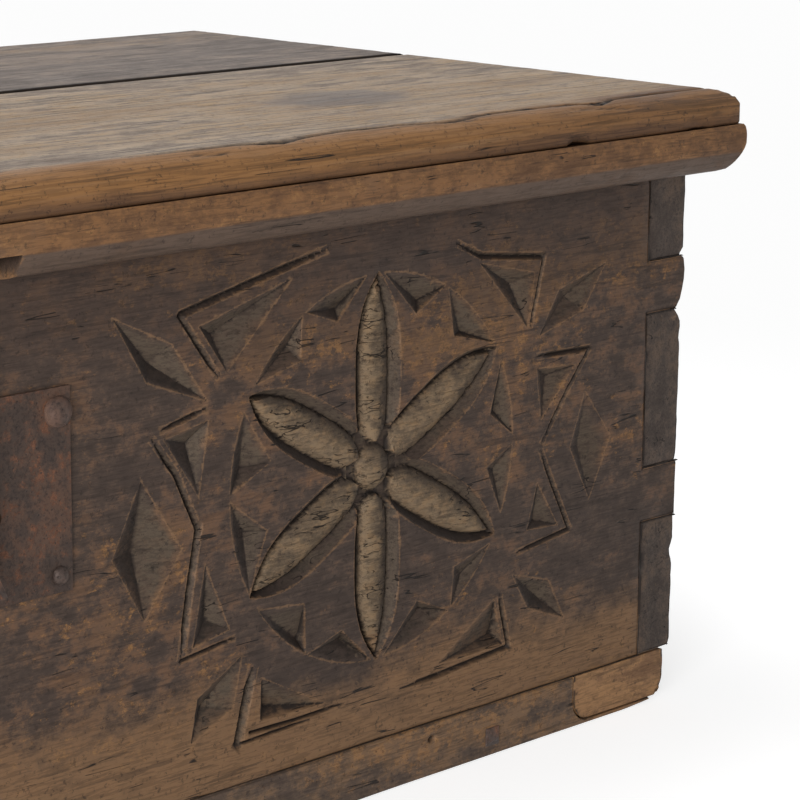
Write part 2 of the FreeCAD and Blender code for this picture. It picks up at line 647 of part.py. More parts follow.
# ---- Lock ------------------------------------------------------------------------------------
def lock_plate():
    """The plate on the front, with the hasp's slot and the keyhole."""
    half_width = PLATE_WIDTH / 2
    plate = box(-half_width, half_width, PLATE_FACE_Y, FRONT_Y, PLATE_Z, PLATE_Z + PLATE_HEIGHT)
    slot = box(-SLOT_WIDTH / 2, SLOT_WIDTH / 2, PLATE_FACE_Y, FRONT_Y,
               LOCK_Z - SLOT_HEIGHT / 2, LOCK_Z + SLOT_HEIGHT / 2)
    hole = cylinder(KEYHOLE_RADIUS, V(KEYHOLE_OFFSET, PLATE_FACE_Y, KEYHOLE_Z),
                    V(KEYHOLE_OFFSET, FRONT_Y, KEYHOLE_Z))
    slit = box(KEYHOLE_OFFSET - KEYHOLE_SLIT_WIDTH / 2, KEYHOLE_OFFSET + KEYHOLE_SLIT_WIDTH / 2,
               PLATE_FACE_Y, FRONT_Y, KEYHOLE_Z - KEYHOLE_SLIT_LENGTH, KEYHOLE_Z)
    return plate.cut([slot, hole, slit])


def lock_case():
    """The case behind the plate, open towards it."""
    half_width = CASE_WIDTH / 2
    half_height = CASE_HEIGHT / 2
    outer = box(-half_width, half_width, FRONT_Y, FRONT_Y + CASE_DEPTH,
                LOCK_Z - half_height, LOCK_Z + half_height)
    inner = box(-half_width + CASE_WALL, half_width - CASE_WALL, FRONT_Y, FRONT_Y + CASE_DEPTH - CASE_WALL,
                LOCK_Z - half_height + CASE_WALL, LOCK_Z + half_height - CASE_WALL)
    return outer.cut(inner)


def lock_bolt():
    """The bolt, drawn back, with the talon that the key's bit catches."""
    low = LOCK_Z - BOLT_HEIGHT / 2
    bar = box(BOLT_REST, BOLT_REST + BOLT_LENGTH, BOLT_Y, BOLT_Y + BOLT_THICKNESS, low, low + BOLT_HEIGHT)
    talon = box(KEYHOLE_OFFSET - TALON_WIDTH / 2, KEYHOLE_OFFSET + TALON_WIDTH / 2,
                BOLT_Y, BOLT_Y + BOLT_THICKNESS, low, low + TALON_DEPTH)
    return bar.cut(talon)


def bolt_guide(middle_x):
    """A bracket on the back of the plate that the bolt slides through."""
    half = GUIDE_WIDTH / 2
    inner_rise = BOLT_HEIGHT / 2 + GUIDE_PLAY
    inner_y = BOLT_Y + BOLT_THICKNESS + GUIDE_PLAY
    outer = box(middle_x - half, middle_x + half, FRONT_Y, inner_y + GUIDE_WALL,
                LOCK_Z - inner_rise - GUIDE_WALL, LOCK_Z + inner_rise + GUIDE_WALL)
    inner = box(middle_x - half, middle_x + half, FRONT_Y, inner_y,
                LOCK_Z - inner_rise, LOCK_Z + inner_rise)
    return outer.cut(inner)


def bolt_spring():
    """A leaf spring that bears on the bolt, its foot against the back of the plate."""
    foot_z = LOCK_Z + BOLT_HEIGHT / 2 + SPRING_RISE
    rest_z = LOCK_Z + BOLT_HEIGHT / 2 + GUIDE_PLAY
    leaf = polygon([
        V(SPRING_START, FRONT_Y, rest_z), V(SPRING_FOOT, FRONT_Y, foot_z),
        V(SPRING_FOOT, FRONT_Y, foot_z + SPRING_THICKNESS),
        V(SPRING_START, FRONT_Y, rest_z + SPRING_THICKNESS),
    ])
    return extruded(leaf, ALONG_Y * SPRING_WIDTH)


def key_pin():
    """The post in the middle of the keyhole, carried by the case, that the key turns on."""
    return cylinder(KEY_PIN_RADIUS, V(KEYHOLE_OFFSET, PLATE_FACE_Y + PLATE_THICKNESS / 2, KEYHOLE_Z),
                    V(KEYHOLE_OFFSET, FRONT_Y + CASE_DEPTH - CASE_WALL, KEYHOLE_Z))


# ---- Hasp ------------------------------------------------------------------------------------
def hasp_hang_angle():
    """How far the loose hasp swings out so that its staple's upper corner clears the plate."""
    drop = HASP_PIVOT.z - (LOCK_Z + STAPLE_HEIGHT / 2)
    reach = STAPLE_TIP_Y - HASP_PIVOT.y
    free_reach = PLATE_FACE_Y - HASP_REST_AIR - HASP_PIVOT.y
    return math.degrees(math.atan2(reach, drop) - math.asin(free_reach / math.hypot(reach, drop)))


def hanging(shape):
    """Turns a hasp piece from its closed place to the one where it hangs loose."""
    return shape.rotated(HASP_PIVOT, ALONG_X, -hasp_hang_angle())


def staple_tenon():
    """The tenon that rivets the staple into the strap."""
    return box(-STAPLE_WIDTH / 2, STAPLE_WIDTH / 2, HASP_BACK_Y - HASP_THICKNESS, HASP_BACK_Y,
               LOCK_Z - STAPLE_TENON / 2, LOCK_Z + STAPLE_TENON / 2)


def hasp_strap():
    """The hasp's strap, rolled into an eye at its top and bent out to a lip at its foot."""
    front = HASP_BACK_Y - HASP_THICKNESS
    foot_z = LOCK_Z - HASP_TAIL
    lean = math.radians(HASP_LIP_ANGLE)
    run = V(0, -HASP_LIP * math.sin(lean), -HASP_LIP * math.cos(lean))
    back_foot = V(-HASP_WIDTH / 2, HASP_BACK_Y, foot_z)
    front_foot = V(-HASP_WIDTH / 2, front, foot_z + HASP_THICKNESS * math.tan(lean / 2))
    side = polygon([
        V(-HASP_WIDTH / 2, HASP_BACK_Y, HASP_PIVOT.z), back_foot, back_foot + run,
        front_foot + run * (1 + HASP_THICKNESS * math.tan(lean / 2) / HASP_LIP),
        front_foot, V(-HASP_WIDTH / 2, front, HASP_PIVOT.z),
    ])
    top = HASP_PIVOT.z + HASP_EYE_RADIUS
    low = foot_z - HASP_LIP
    taper = polygon([
        V(-HASP_WIDTH / 2, front - HASP_LIP, top), V(HASP_WIDTH / 2, front - HASP_LIP, top),
        V(HASP_TIP_WIDTH / 2, front - HASP_LIP, low), V(-HASP_TIP_WIDTH / 2, front - HASP_LIP, low),
    ])
    half = ALONG_X * (HASP_WIDTH / 2)
    eye = cylinder(HASP_EYE_RADIUS, HASP_PIVOT - half, HASP_PIVOT + half)
    bore = cylinder(HASP_BAR_RADIUS + HASP_BORE_CLEARANCE, HASP_PIVOT - half, HASP_PIVOT + half)
    strip = extruded(side, ALONG_X * HASP_WIDTH).fuse(eye).cut([bore, staple_tenon()])
    return tidy(strip.common(extruded(taper, ALONG_Y * (HASP_LIP + HASP_THICKNESS + HASP_EYE_RADIUS))))


def hasp_staple():
    """The staple riveted on the hasp's back, whose eye takes the bolt."""
    half = STAPLE_WIDTH / 2
    body = box(-half, half, HASP_BACK_Y, STAPLE_TIP_Y,
               LOCK_Z - STAPLE_HEIGHT / 2, LOCK_Z + STAPLE_HEIGHT / 2)
    eye = box(-half, half, HASP_BACK_Y + PLATE_THICKNESS, STAPLE_TIP_Y - STAPLE_WALL,
              LOCK_Z - STAPLE_EYE_HEIGHT / 2, LOCK_Z + STAPLE_EYE_HEIGHT / 2)
    return tidy(body.cut(eye).fuse(staple_tenon()))


def hasp_eye():
    """The staple that hangs the hasp: a round bar between two square legs driven into the lid."""
    leg_x = (HASP_WIDTH + HASP_LEG_WIDTH) / 2 + HASP_LEG_PLAY
    side_step = ALONG_X * leg_x
    bar = cylinder(HASP_BAR_RADIUS, HASP_PIVOT - side_step, HASP_PIVOT + side_step)
    leg = faceted(4, [
        (HASP_LEG_WIDTH / math.sqrt(2), -HASP_LEG_WIDTH / 2),
        (HASP_LEG_WIDTH / math.sqrt(2), HASP_PIVOT_DROP - NOTCH_CEILING_DROP),
        (HASP_LEG_TIP / math.sqrt(2), HASP_PIVOT_DROP + HASP_LEG_DEPTH),
    ])
    return tidy(bar.fuse([leg.translated(HASP_PIVOT + step) for step in (side_step, -side_step)]))


# ---- Nails -----------------------------------------------------------------------------------
def bottom_nails():
    """Nails up through the bottom boards into the four walls, their heads let in flush."""
    head_height = SMALL_HEAD[1]
    front_row = FRONT_Y + FRONT_THICKNESS / 2
    back_row = BACK_Y - BACK_THICKNESS / 2
    reach = HALF_LENGTH - SIDE_THICKNESS / 2
    places = [(x, y) for y in (front_row, back_row) for x in spread(-reach, reach, BOTTOM_NAIL_COUNT)]
    inner_rows = spread(front_row, back_row, SIDE_NAIL_COUNT + 2)[1:-1]
    places += [(x, y) for x in (-reach, reach) for y in inner_rows]
    return [nail(V(x, y, head_height), UP, BOTTOM_NAIL_LENGTH, SMALL_HEAD) for x, y in places]


def edge_nail():
    """The square-headed nail in the front edge of the bottom."""
    place = V(HALF_LENGTH - EDGE_NAIL_INSET, FRONT_Y, EDGE_NAIL_RISE)
    return nail(place, ALONG_Y, EDGE_NAIL_LENGTH, EDGE_HEAD, 4)


def moulding_nails():
    """Nails up through the mouldings into the lid, their heads let in flush."""
    toe_out, toe_drop = MOULDING_TOE
    slope = (MOULDING_HEIGHT - toe_drop) / (toe_out - MOULDING_PLAY)
    underside = LID_Z - MOULDING_HEIGHT + (MOULDING_NAIL_REACH - MOULDING_PLAY) * slope
    z = underside + SMALL_HEAD[1]
    y = FRONT_Y - MOULDING_NAIL_REACH
    reach = HALF_LENGTH - MOULDING_PROJECTION
    places = [(x, y) for x in spread(-reach, reach, MOULDING_NAIL_COUNT)]
    rows = spread(FRONT_Y + MOULDING_PROJECTION, BACK_Y - MOULDING_PROJECTION, SIDE_MOULDING_NAIL_COUNT)
    side_x = HALF_LENGTH + MOULDING_NAIL_REACH
    places += [(side * side_x, row) for side in (1, -1) for row in rows]
    return [nail(V(x, y, z), UP, MOULDING_NAIL_LENGTH, SMALL_HEAD) for x, y in places]


def batten_nails():
    """Nails up through the battens into the lid boards."""
    y0 = FRONT_Y + FRONT_THICKNESS + BATTEN_WIDTH
    y1 = BACK_Y - BACK_THICKNESS - BATTEN_WIDTH
    rows = spread(y0, y1, BATTEN_NAIL_COUNT)
    z = LID_Z - BATTEN_THICKNESS
    return [nail(V(side * BATTEN_X, y, z), UP, BATTEN_NAIL_LENGTH, SMALL_HEAD)
            for side in (1, -1) for y in rows]


def strap_nails():
    """Nails up through the hinge straps into the lid boards."""
    z = LID_Z - IRON_THICKNESS
    steps = spread(STRAP_NAIL_FIRST, STRAP_LENGTH - HINGE_NAIL_INSET, STRAP_NAIL_COUNT)
    return [nail(V(side * HINGE_X, HINGE_Y - step, z), UP, STRAP_NAIL_LENGTH, SMALL_HEAD)
            for side in (1, -1) for step in steps]


def leaf_nails():
    """Nails through the hinge leaves into the back board."""
    y = BACK_Y + IRON_THICKNESS
    steps = spread(LEAF_NAIL_FIRST, LEAF_LENGTH - HINGE_NAIL_INSET, LEAF_NAIL_COUNT)
    return [nail(V(side * HINGE_X, y, HINGE_Z - step), -ALONG_Y, LEAF_NAIL_LENGTH, SMALL_HEAD)
            for side in (1, -1) for step in steps]


def plate_nails():
    """Nails of the lock plate, domed above and small below."""
    x = PLATE_WIDTH / 2 - PLATE_NAIL_INSET
    upper_z = PLATE_Z + PLATE_HEIGHT - PLATE_UPPER_NAIL_DROP
    lower_z = PLATE_Z + PLATE_LOWER_NAIL_RISE
    rows = ((upper_z, LARGE_HEAD), (lower_z, PLATE_SMALL_HEAD))
    return [nail(V(side * x, PLATE_FACE_Y, z), ALONG_Y, PLATE_NAIL_LENGTH, head)
            for side in (1, -1) for z, head in rows]


# ---- Assembly --------------------------------------------------------------------------------
def build():
    """All the chest's pieces by name."""
    nails = {
        "bottom_nails": bottom_nails(), "edge_nail": [edge_nail()], "moulding_nails": moulding_nails(),
        "batten_nails": batten_nails(), "strap_nails": strap_nails(), "leaf_nails": leaf_nails(),
        "plate_nails": plate_nails(),
    }
    eye = hasp_eye()
    lid_fasteners = nails["moulding_nails"] + nails["batten_nails"] + nails["strap_nails"] + [eye]
    bottom_seam = FRONT_Y + BOTTOM_FRONT_WIDTH
    lid_front_y = FRONT_Y - LID_OVERHANG
    lid_seam = lid_front_y + LID_FRONT_WIDTH
    front_bottom = bottom_board(FRONT_Y, bottom_seam)
    pieces = {
        "front_board": drilled(front_board(), nails["bottom_nails"] + nails["plate_nails"]),
        "back_board": drilled(back_board(), nails["bottom_nails"] + nails["leaf_nails"]),
        "right_side_board": drilled(side_board(1), nails["bottom_nails"]),
        "left_side_board": drilled(side_board(-1), nails["bottom_nails"]),
        "front_bottom_board": drilled(front_bottom.cut(patch_block()),
                                      nails["bottom_nails"] + nails["edge_nail"]),
        "rear_bottom_board": drilled(bottom_board(bottom_seam + BOTTOM_GAP, BACK_Y), nails["bottom_nails"]),
        "bottom_patch": tidy(patch_block().common(front_bottom)),
        "lid_front_board": drilled(lid_board(lid_front_y, lid_seam), lid_fasteners),
        "lid_rear_board": drilled(lid_board(lid_seam + LID_GAP, LID_BACK_Y), lid_fasteners),
        "front_moulding": drilled(front_moulding(), nails["moulding_nails"] + [eye]),
        "right_moulding": drilled(side_moulding(), nails["moulding_nails"]),
        "left_moulding": drilled(mirrored(side_moulding()), nails["moulding_nails"]),
        "right_batten": drilled(batten(BATTEN_X), nails["batten_nails"]),
        "left_batten": drilled(batten(-BATTEN_X), nails["batten_nails"]),
        "lock_plate": drilled(lock_plate(), nails["plate_nails"]),
        "lock_case": lock_case(),
        "lock_bolt": lock_bolt(),
        "bolt_guides": Part.makeCompound([bolt_guide(x) for x in GUIDE_POSITIONS]),
        "bolt_spring": bolt_spring(),
        "key_pin": key_pin(),
        "hasp_eye": eye,
        "hasp_strap": hanging(hasp_strap()),
        "hasp_staple": hanging(hasp_staple()),
    }
    for side, name in ((1, "right"), (-1, "left")):
        middle_x = side * HINGE_X
        pieces[name + "_hinge_strap"] = drilled(hinge_strap(middle_x), nails["strap_nails"])
        pieces[name + "_hinge_leaf"] = drilled(hinge_leaf(middle_x), nails["leaf_nails"])
        pieces[name + "_hinge_pin"] = hinge_pin(middle_x)
    for name, solids in nails.items():
        pieces[name] = Part.makeCompound(solids)
    return pieces


os.makedirs("parts", exist_ok=True)
for node, shape in build().items():
    shape.exportStep(os.path.join("parts", node + ".step"))
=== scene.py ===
"""The looks of a carved coffer chest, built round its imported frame.

Metres, with +X along the front to the right, +Y from the front to the back and +Z up. Every wooden
board is a worked mesh that stands for its node: sawn as a slab, carved, split, chipped and rubbed
round by wear. Small ironwork keeps its own node under a forged finish.
"""

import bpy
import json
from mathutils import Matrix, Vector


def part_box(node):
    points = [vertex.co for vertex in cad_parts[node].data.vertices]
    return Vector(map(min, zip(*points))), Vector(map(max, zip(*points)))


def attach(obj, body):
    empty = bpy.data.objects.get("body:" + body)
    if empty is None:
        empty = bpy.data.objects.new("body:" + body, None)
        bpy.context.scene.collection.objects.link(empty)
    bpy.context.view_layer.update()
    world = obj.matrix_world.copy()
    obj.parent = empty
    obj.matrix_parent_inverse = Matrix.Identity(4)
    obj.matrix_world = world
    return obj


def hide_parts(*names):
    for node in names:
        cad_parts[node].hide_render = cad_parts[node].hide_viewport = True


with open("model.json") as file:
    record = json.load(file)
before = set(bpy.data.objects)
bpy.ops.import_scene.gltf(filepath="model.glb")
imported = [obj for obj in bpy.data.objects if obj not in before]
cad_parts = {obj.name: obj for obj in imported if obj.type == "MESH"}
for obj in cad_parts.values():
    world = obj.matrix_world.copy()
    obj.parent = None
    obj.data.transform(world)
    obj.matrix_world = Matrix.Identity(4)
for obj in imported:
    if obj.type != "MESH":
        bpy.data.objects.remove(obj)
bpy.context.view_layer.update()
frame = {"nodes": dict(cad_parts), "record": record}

import json
import logging
import math
from dataclasses import dataclass, field
from enum import Enum
from statistics import NormalDist
from typing import Callable, Iterable, Sequence

import bmesh
import bpy
import numpy as np
from mathutils import Matrix, Vector

MM = 0.001
NEAR = 1e-6     # two levels nearer than this are one
ON_FACE = 1e-5  # a vertex nearer to a face than this lies on it
LEAST = 1e-6    # divisors are kept above this
MERGE = 0.01 * MM
FAR = 9 * MM    # lines further off than this are not looked for
log = logging.getLogger("coffer")
Pair = tuple[float, float]
Triple = tuple[float, float, float]
Colour = tuple[int, int, int]
Field = Callable[[np.ndarray], np.ndarray]

# Sizes that several pieces share, in metres, from the frame
FRONT_LOW, FRONT_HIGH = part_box("front_board")
SIDE_LOW, SIDE_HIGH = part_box("right_side_board")
CASE_LOW, CASE_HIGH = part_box("lock_case")
STRAP_LOW, STRAP_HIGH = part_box("right_hinge_strap")
FRONT_Y, BACK_Y = SIDE_LOW.y, SIDE_HIGH.y
WALL_Z, RIM_Z = FRONT_LOW.z, FRONT_HIGH.z
LID_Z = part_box("front_moulding")[1].z
HALF_LENGTH, SIDE_INNER_X = FRONT_HIGH.x, SIDE_LOW.x
WALL = 33 * MM
FRONT_INNER_Y, BACK_INNER_Y = FRONT_Y + WALL, BACK_Y - WALL
LOW_PIN = (WALL_Z + 97 * MM, WALL_Z + 134 * MM)
HIGH_PIN = (WALL_Z + 244 * MM, WALL_Z + 279 * MM)
PIN_SLOPE = math.radians(8)
PIN_FLARE = WALL * math.tan(PIN_SLOPE)


class Plane(Enum):
    """The plane in which a slab is sawn out: its two plan axes and the axis of its thickness."""

    TOP = (0, 1, 2)
    FRONT = (0, 2, 1)
    SIDE = (1, 2, 0)


class Grain(Enum):
    """The axis that a board's grain follows."""

    LENGTH = 0
    DEPTH = 1
    HEIGHT = 2


# ---- Noise and distances ---------------------------------------------------------------------
# Large numbers that scramble a corner of the lattice into its value
CORNER_STRIDES = np.array((374761393, 668265263, 2147483647))
SEED_STRIDE, SCRAMBLE = 97531, 1274126177
WORD, HALF_WORD = 0xFFFFFFFF, 0xFFFF
OCTAVE_SHIFT = 17.3
BLOCK = 2048    # places that are measured at a time
EDGE_ANGLES = (30, 50, 70)


def lattice_noise(points: np.ndarray, seed: int = 0) -> np.ndarray:
    """Smooth value noise.

    Args:
        points: places, one row each, in lattice steps.
        seed: picks one of many unlike patterns.

    Returns:
        One value for each row, from -1 to 1.
    """
    cell = np.floor(points).astype(np.int64)
    inside = points - cell
    ease = inside ** 3 * (inside * (inside * 6 - 15) + 10)
    total = np.zeros(len(points))
    for corner in np.ndindex(2, 2, 2):
        mixed = ((cell + corner) @ CORNER_STRIDES + seed * SEED_STRIDE) & WORD
        mixed = ((mixed ^ (mixed >> 13)) * SCRAMBLE) & WORD
        value = ((mixed ^ (mixed >> 16)) & HALF_WORD) / (HALF_WORD / 2) - 1
        total += value * np.prod(np.where(np.array(corner) == 1, ease, 1 - ease), axis=1)
    return total


def fractal(points: np.ndarray, steps: Sequence[float], octaves: int = 3, seed: int = 0) -> np.ndarray:
    """Noise in several octaves.

    Args:
        points: places in metres, one row each.
        steps: length in millimetres of the largest lattice step along each axis.
        octaves: how many times the pattern is halved and added.
        seed: picks the pattern.

    Returns:
        One value for each row, about -1 to 1.
    """
    scaled = points / (np.array(steps) * MM)
    total = np.zeros(len(points))
    share = 1.0
    for octave in range(octaves):
        total += share * lattice_noise(scaled * 2 ** octave + OCTAVE_SHIFT * octave, seed + octave)
        share *= 0.5
    return total / (2 - 2 * share)


def nearest_on_lines(points: np.ndarray, lines: np.ndarray) -> tuple[np.ndarray, np.ndarray]:
    """The nearest place on any of the lines.

    Args:
        points: positions, one row each, flat or in space.
        lines: one row per line, with both ends.

    Returns:
        The distances and the nearest places.
    """
    size = points.shape[1]
    start, run = lines[:, :size], lines[:, size:] - lines[:, :size]
    length2 = np.maximum((run ** 2).sum(1), 1e-12)
    distance = np.full(len(points), np.inf)
    place = points.copy()
    for first in range(0, len(points), BLOCK):
        block = slice(first, first + BLOCK)
        part = points[block]
        along = ((part[:, None] - start) * run).sum(2) / length2
        foot = start + np.clip(along, 0, 1)[..., None] * run
        gap = np.linalg.norm(part[:, None] - foot, axis=2)
        best = gap.argmin(1)
        row = np.arange(len(part))
        distance[block], place[block] = gap[row, best], foot[row, best]
    return distance, place


def uneven(depth: float, steps: Triple, seed: int) -> Field:
    """Wear between nothing and twice a depth in millimetres, as a function of places."""
    return lambda places: depth * (1 + fractal(places, steps, 3, seed))


def polyline(points: Sequence[Sequence[float]], closed: bool = False) -> np.ndarray:
    """The lines that join the points, one row per line."""
    ends = np.array(list(points) + ([points[0]] if closed else []), float)
    return np.hstack([ends[:-1], ends[1:]])


def in_box(points: np.ndarray, lines: np.ndarray, margin: float) -> np.ndarray:
    """Which points lie in the box of the lines, widened by a margin."""
    ends = lines.reshape(-1, points.shape[1])
    return ((points > ends.min(0) - margin) & (points < ends.max(0) + margin)).all(1)


def distance_where(points: np.ndarray, close: np.ndarray, lines: np.ndarray) -> np.ndarray:
    """Distance from the lines at the points marked as close, and endless at the others.

    Args:
        points: places, one row each.
        close: marks the places to measure.
        lines: one row per line, with both ends.

    Returns:
        One distance for each place.
    """
    found = np.full(len(points), np.inf)
    found[close] = nearest_on_lines(points[close], lines)[0]
    return found


def drawn_on(plane: Plane, level: float, lines: np.ndarray, fold: bool = False) -> Field:
    """Distance from lines drawn on one flat face of a board.

    Args:
        plane: how the board is sawn.
        level: where the face lies along the thickness.
        lines: plan lines in metres, one row each.
        fold: whether the lines repeat on the other side of X = 0.

    Returns:
        A function of places; off the face it is endless.
    """
    u_axis, v_axis, w_axis = plane.value

    def distance(places: np.ndarray) -> np.ndarray:
        """The distance of every place.

        Args:
            places: places in metres, one row each.

        Returns:
            One distance for each place.
        """
        plan = places[:, [u_axis, v_axis]]
        if fold:
            plan[:, 0] = np.abs(plan[:, 0])
        close = (np.abs(places[:, w_axis] - level) < ON_FACE) & in_box(plan, lines, FAR)
        return distance_where(plan, close, lines)

    return distance


def near_lines(lines: np.ndarray) -> Field:
    """Distance from lines in space, in metres, one row each."""
    return lambda places: distance_where(places, in_box(places, lines, FAR), lines)


def along_path(points: Sequence[Sequence[float]]) -> Field:
    """Distance from a path in space, its points in millimetres."""
    return near_lines(polyline(points) * MM)


def rows(low: float, high: float, cell: float, edge: float = 0.0, keep: Sequence[float] = ()) -> np.ndarray:
    """Places of the rows of a slab's mesh.

    Args:
        low: first row.
        high: last row.
        cell: widest gap between two rows.
        edge: depth of a finer band at each end, for a rounded edge.
        keep: further rows that the mesh has to have.

    Returns:
        The rows in order.
    """
    stops = {low, high, *keep}
    if edge:
        turn = [edge * (1 - math.cos(math.radians(angle))) for angle in EDGE_ANGLES]
        stops |= {low + step for step in [*turn, edge]} | {high - step for step in [*turn, edge]}
    ordered = sorted(stops)
    filled = [ordered[0]]
    for start, end in zip(ordered, ordered[1:]):
        if end - start < NEAR:
            continue
        count = max(1, math.ceil((end - start) / cell - NEAR))
        filled += [start + (end - start) * step / count for step in range(1, count + 1)]
    return np.array(filled)


def around_levels(levels: Iterable[float], steps: Sequence[float] = (0, 1, 2.4)) -> list[float]:
    """Rows on both sides of some levels; steps are in millimetres."""
    return [level + sign * step * MM for level in levels for step in steps for sign in (-1, 1)]


# ---- Meshes ----------------------------------------------------------------------------------
def put_in(name: str, data: bpy.types.ID) -> bpy.types.Object:
    """Makes an object and links it to the scene.

    Args:
        name: the object's name.
        data: its mesh, lamp or camera.

    Returns:
        The object.
    """
    made = bpy.data.objects.new(name, data)
    bpy.context.scene.collection.objects.link(made)
    return made


class Workpiece:
    """One piece of the chest on the bench, from the first saw cut to its place on the chest."""

    crack_steps: Triple = (26, 26, 26)
    faded: float = 9                    # crack widths at which a crack has faded out
    crevices: Pair = (3.2, 0.05)        # how strongly a valley is marked, and what is taken off
    arrises: Pair = (2.6, 0.12)

    def __init__(self) -> None:
        """Starts with an empty bench."""
        self.bm = bmesh.new()

    @property
    def places(self) -> np.ndarray:
        """Where the vertices are, one row each."""
        return np.array([vert.co for vert in self.bm.verts]).reshape(-1, 3)

    @places.setter
    def places(self, values: np.ndarray) -> None:
        """Moves every vertex."""
        for vert, place in zip(self.bm.verts, values.tolist()):
            vert.co = place

    @property
    def normals(self) -> np.ndarray:
        """The way that each vertex faces."""
        self.bm.normal_update()
        return np.array([vert.normal for vert in self.bm.verts]).reshape(-1, 3)

    def slab(self, plane: Plane, us: np.ndarray, vs: np.ndarray, levels: np.ndarray,
             gone: Callable[[float, float], bool] | None = None) -> "Workpiece":
        """Saws out a board.

        Args:
            plane: how the board is sawn.
            us: rows along the first plan axis.
            vs: rows along the second plan axis.
            levels: rows through the thickness.
            gone: tells from the middle of a cell whether it lies in an opening.

        Returns:
            The same piece, closed, its faces outwards.
        """
        bmesh.ops.create_grid(self.bm, x_segments=len(us) - 1, y_segments=len(vs) - 1, size=0.5)
        u_axis, v_axis, w_axis = plane.value
        for vert in self.bm.verts:
            column = round((vert.co.x + 0.5) * (len(us) - 1))
            row = round((vert.co.y + 0.5) * (len(vs) - 1))
            vert.co[u_axis], vert.co[v_axis], vert.co[w_axis] = us[column], vs[row], levels[0]
        if gone:
            middles = [(face, face.calc_center_median()) for face in self.bm.faces]
            lost = [face for face, middle in middles if gone(middle[u_axis], middle[v_axis])]
            bmesh.ops.delete(self.bm, geom=lost, context="FACES")
        return self._thicken(w_axis, levels)

    def _thicken(self, axis: int, levels: np.ndarray) -> "Workpiece":
        """Gives a flat sheet its thickness, with a row of vertices at every level.

        Args:
            axis: the axis of the thickness.
            levels: rows through the thickness.

        Returns:
            The same piece, closed, its faces outwards.
        """
        made = bmesh.ops.extrude_face_region(self.bm, geom=self.bm.faces[:])
        for item in made["geom"]:
            if isinstance(item, bmesh.types.BMVert):
                item.co[axis] = levels[-1]
        rim = [edge for edge in self.bm.edges if abs(edge.verts[0].co[axis] - edge.verts[1].co[axis]) > NEAR]
        bmesh.ops.subdivide_edges(self.bm, edges=rim, cuts=len(levels) - 2, use_grid_fill=True)
        even = np.linspace(levels[0], levels[-1], len(levels))
        order = np.argsort(even)
        for vert in self.bm.verts:
            vert.co[axis] = np.interp(vert.co[axis], even[order], levels[order])
        return self.face_outwards()

    def face_outwards(self) -> "Workpiece":
        """Turns every face outwards."""
        bmesh.ops.recalc_face_normals(self.bm, faces=self.bm.faces[:])
        return self

    def merge(self) -> "Workpiece":
        """Makes one vertex of those that lie on each other."""
        bmesh.ops.remove_doubles(self.bm, verts=self.bm.verts[:], dist=MERGE)
        return self

    def refine(self, distance: Field, stages: Iterable[Pair]) -> "Workpiece":
        """Halves long edges near some lines; each stage has its reach and its longest edge in mm.

        Args:
            distance: gives each place's distance from the lines.
            stages: reach and longest edge of each stage, in millimetres.

        Returns:
            The same piece.
        """
        for reach, longest in stages:
            chosen = [edge for edge in self.bm.edges if edge.calc_length() > longest * MM]
            middles = np.array([(edge.verts[0].co + edge.verts[1].co) / 2 for edge in chosen]).reshape(-1, 3)
            near = distance(middles) < reach * MM
            edges = [edge for edge, hit in zip(chosen, near) if hit]
            bmesh.ops.subdivide_edges(self.bm, edges=edges, cuts=1, use_grid_fill=True, use_single_edge=True)
        return self

    def snap(self, plane: Plane, level: float, lines: np.ndarray, reach: float) -> "Workpiece":
        """Slides vertices of one face, folded about X = 0, onto a line that lies very near.

        Args:
            plane: how the board is sawn.
            level: where the face lies along the thickness.
            lines: plan lines in metres, one row each.
            reach: how far a vertex may slide, in metres.

        Returns:
            The same piece.
        """
        u_axis, v_axis, w_axis = plane.value
        places = self.places
        on_face = np.flatnonzero(np.abs(places[:, w_axis] - level) < ON_FACE)
        plan = places[on_face][:, [u_axis, v_axis]]
        side = np.where(plan[:, 0] < 0, -1.0, 1.0)
        plan[:, 0] *= side
        boxed = np.flatnonzero(in_box(plan, lines, reach))
        distance, place = nearest_on_lines(plan[boxed], lines)
        moved = boxed[distance < reach]
        plan[moved] = place[distance < reach]
        plan[:, 0] *= side
        places[on_face[:, None], [u_axis, v_axis]] = plan
        self.places = places
        return self

    def round_over(self, low: Sequence[float], high: Sequence[float], radius: float | Sequence[float],
                   sides: str = "xXyYzZ") -> "Workpiece":
        """Wears the edges of a box round.

        Args:
            low: lowest corner of the box.
            high: highest corner of the box.
            radius: the radius in metres, or one for each axis.
            sides: the faces that take part; a small letter is the low face of that axis.

        Returns:
            The same piece.
        """
        places = self.places
        radii = np.broadcast_to(radius, 3)
        lower, upper = np.full(3, -np.inf), np.full(3, np.inf)
        for axis, (small, large) in enumerate(("xX", "yY", "zZ")):
            if small in sides:
                lower[axis] = low[axis] + radii[axis]
            if large in sides:
                upper[axis] = high[axis] - radii[axis]
        core = np.clip(places, lower, upper)
        offset = places - core
        size = np.linalg.norm(offset / radii, axis=1)
        moved = size > 1 + ON_FACE
        places[moved] = core[moved] + offset[moved] / size[moved][:, None]
        self.places = places
        return self

    def wear(self, amount: Field) -> "Workpiece":
        """Sinks every vertex along the way it faces; amount gives the depth in millimetres."""
        return self.sink(np.maximum(amount(self.places), 0) * MM)

    def sink(self, depth: np.ndarray) -> "Workpiece":
        """Sinks every vertex along the way it faces, by its own depth in metres."""
        self.places = self.places - self.normals * depth[:, None]
        return self

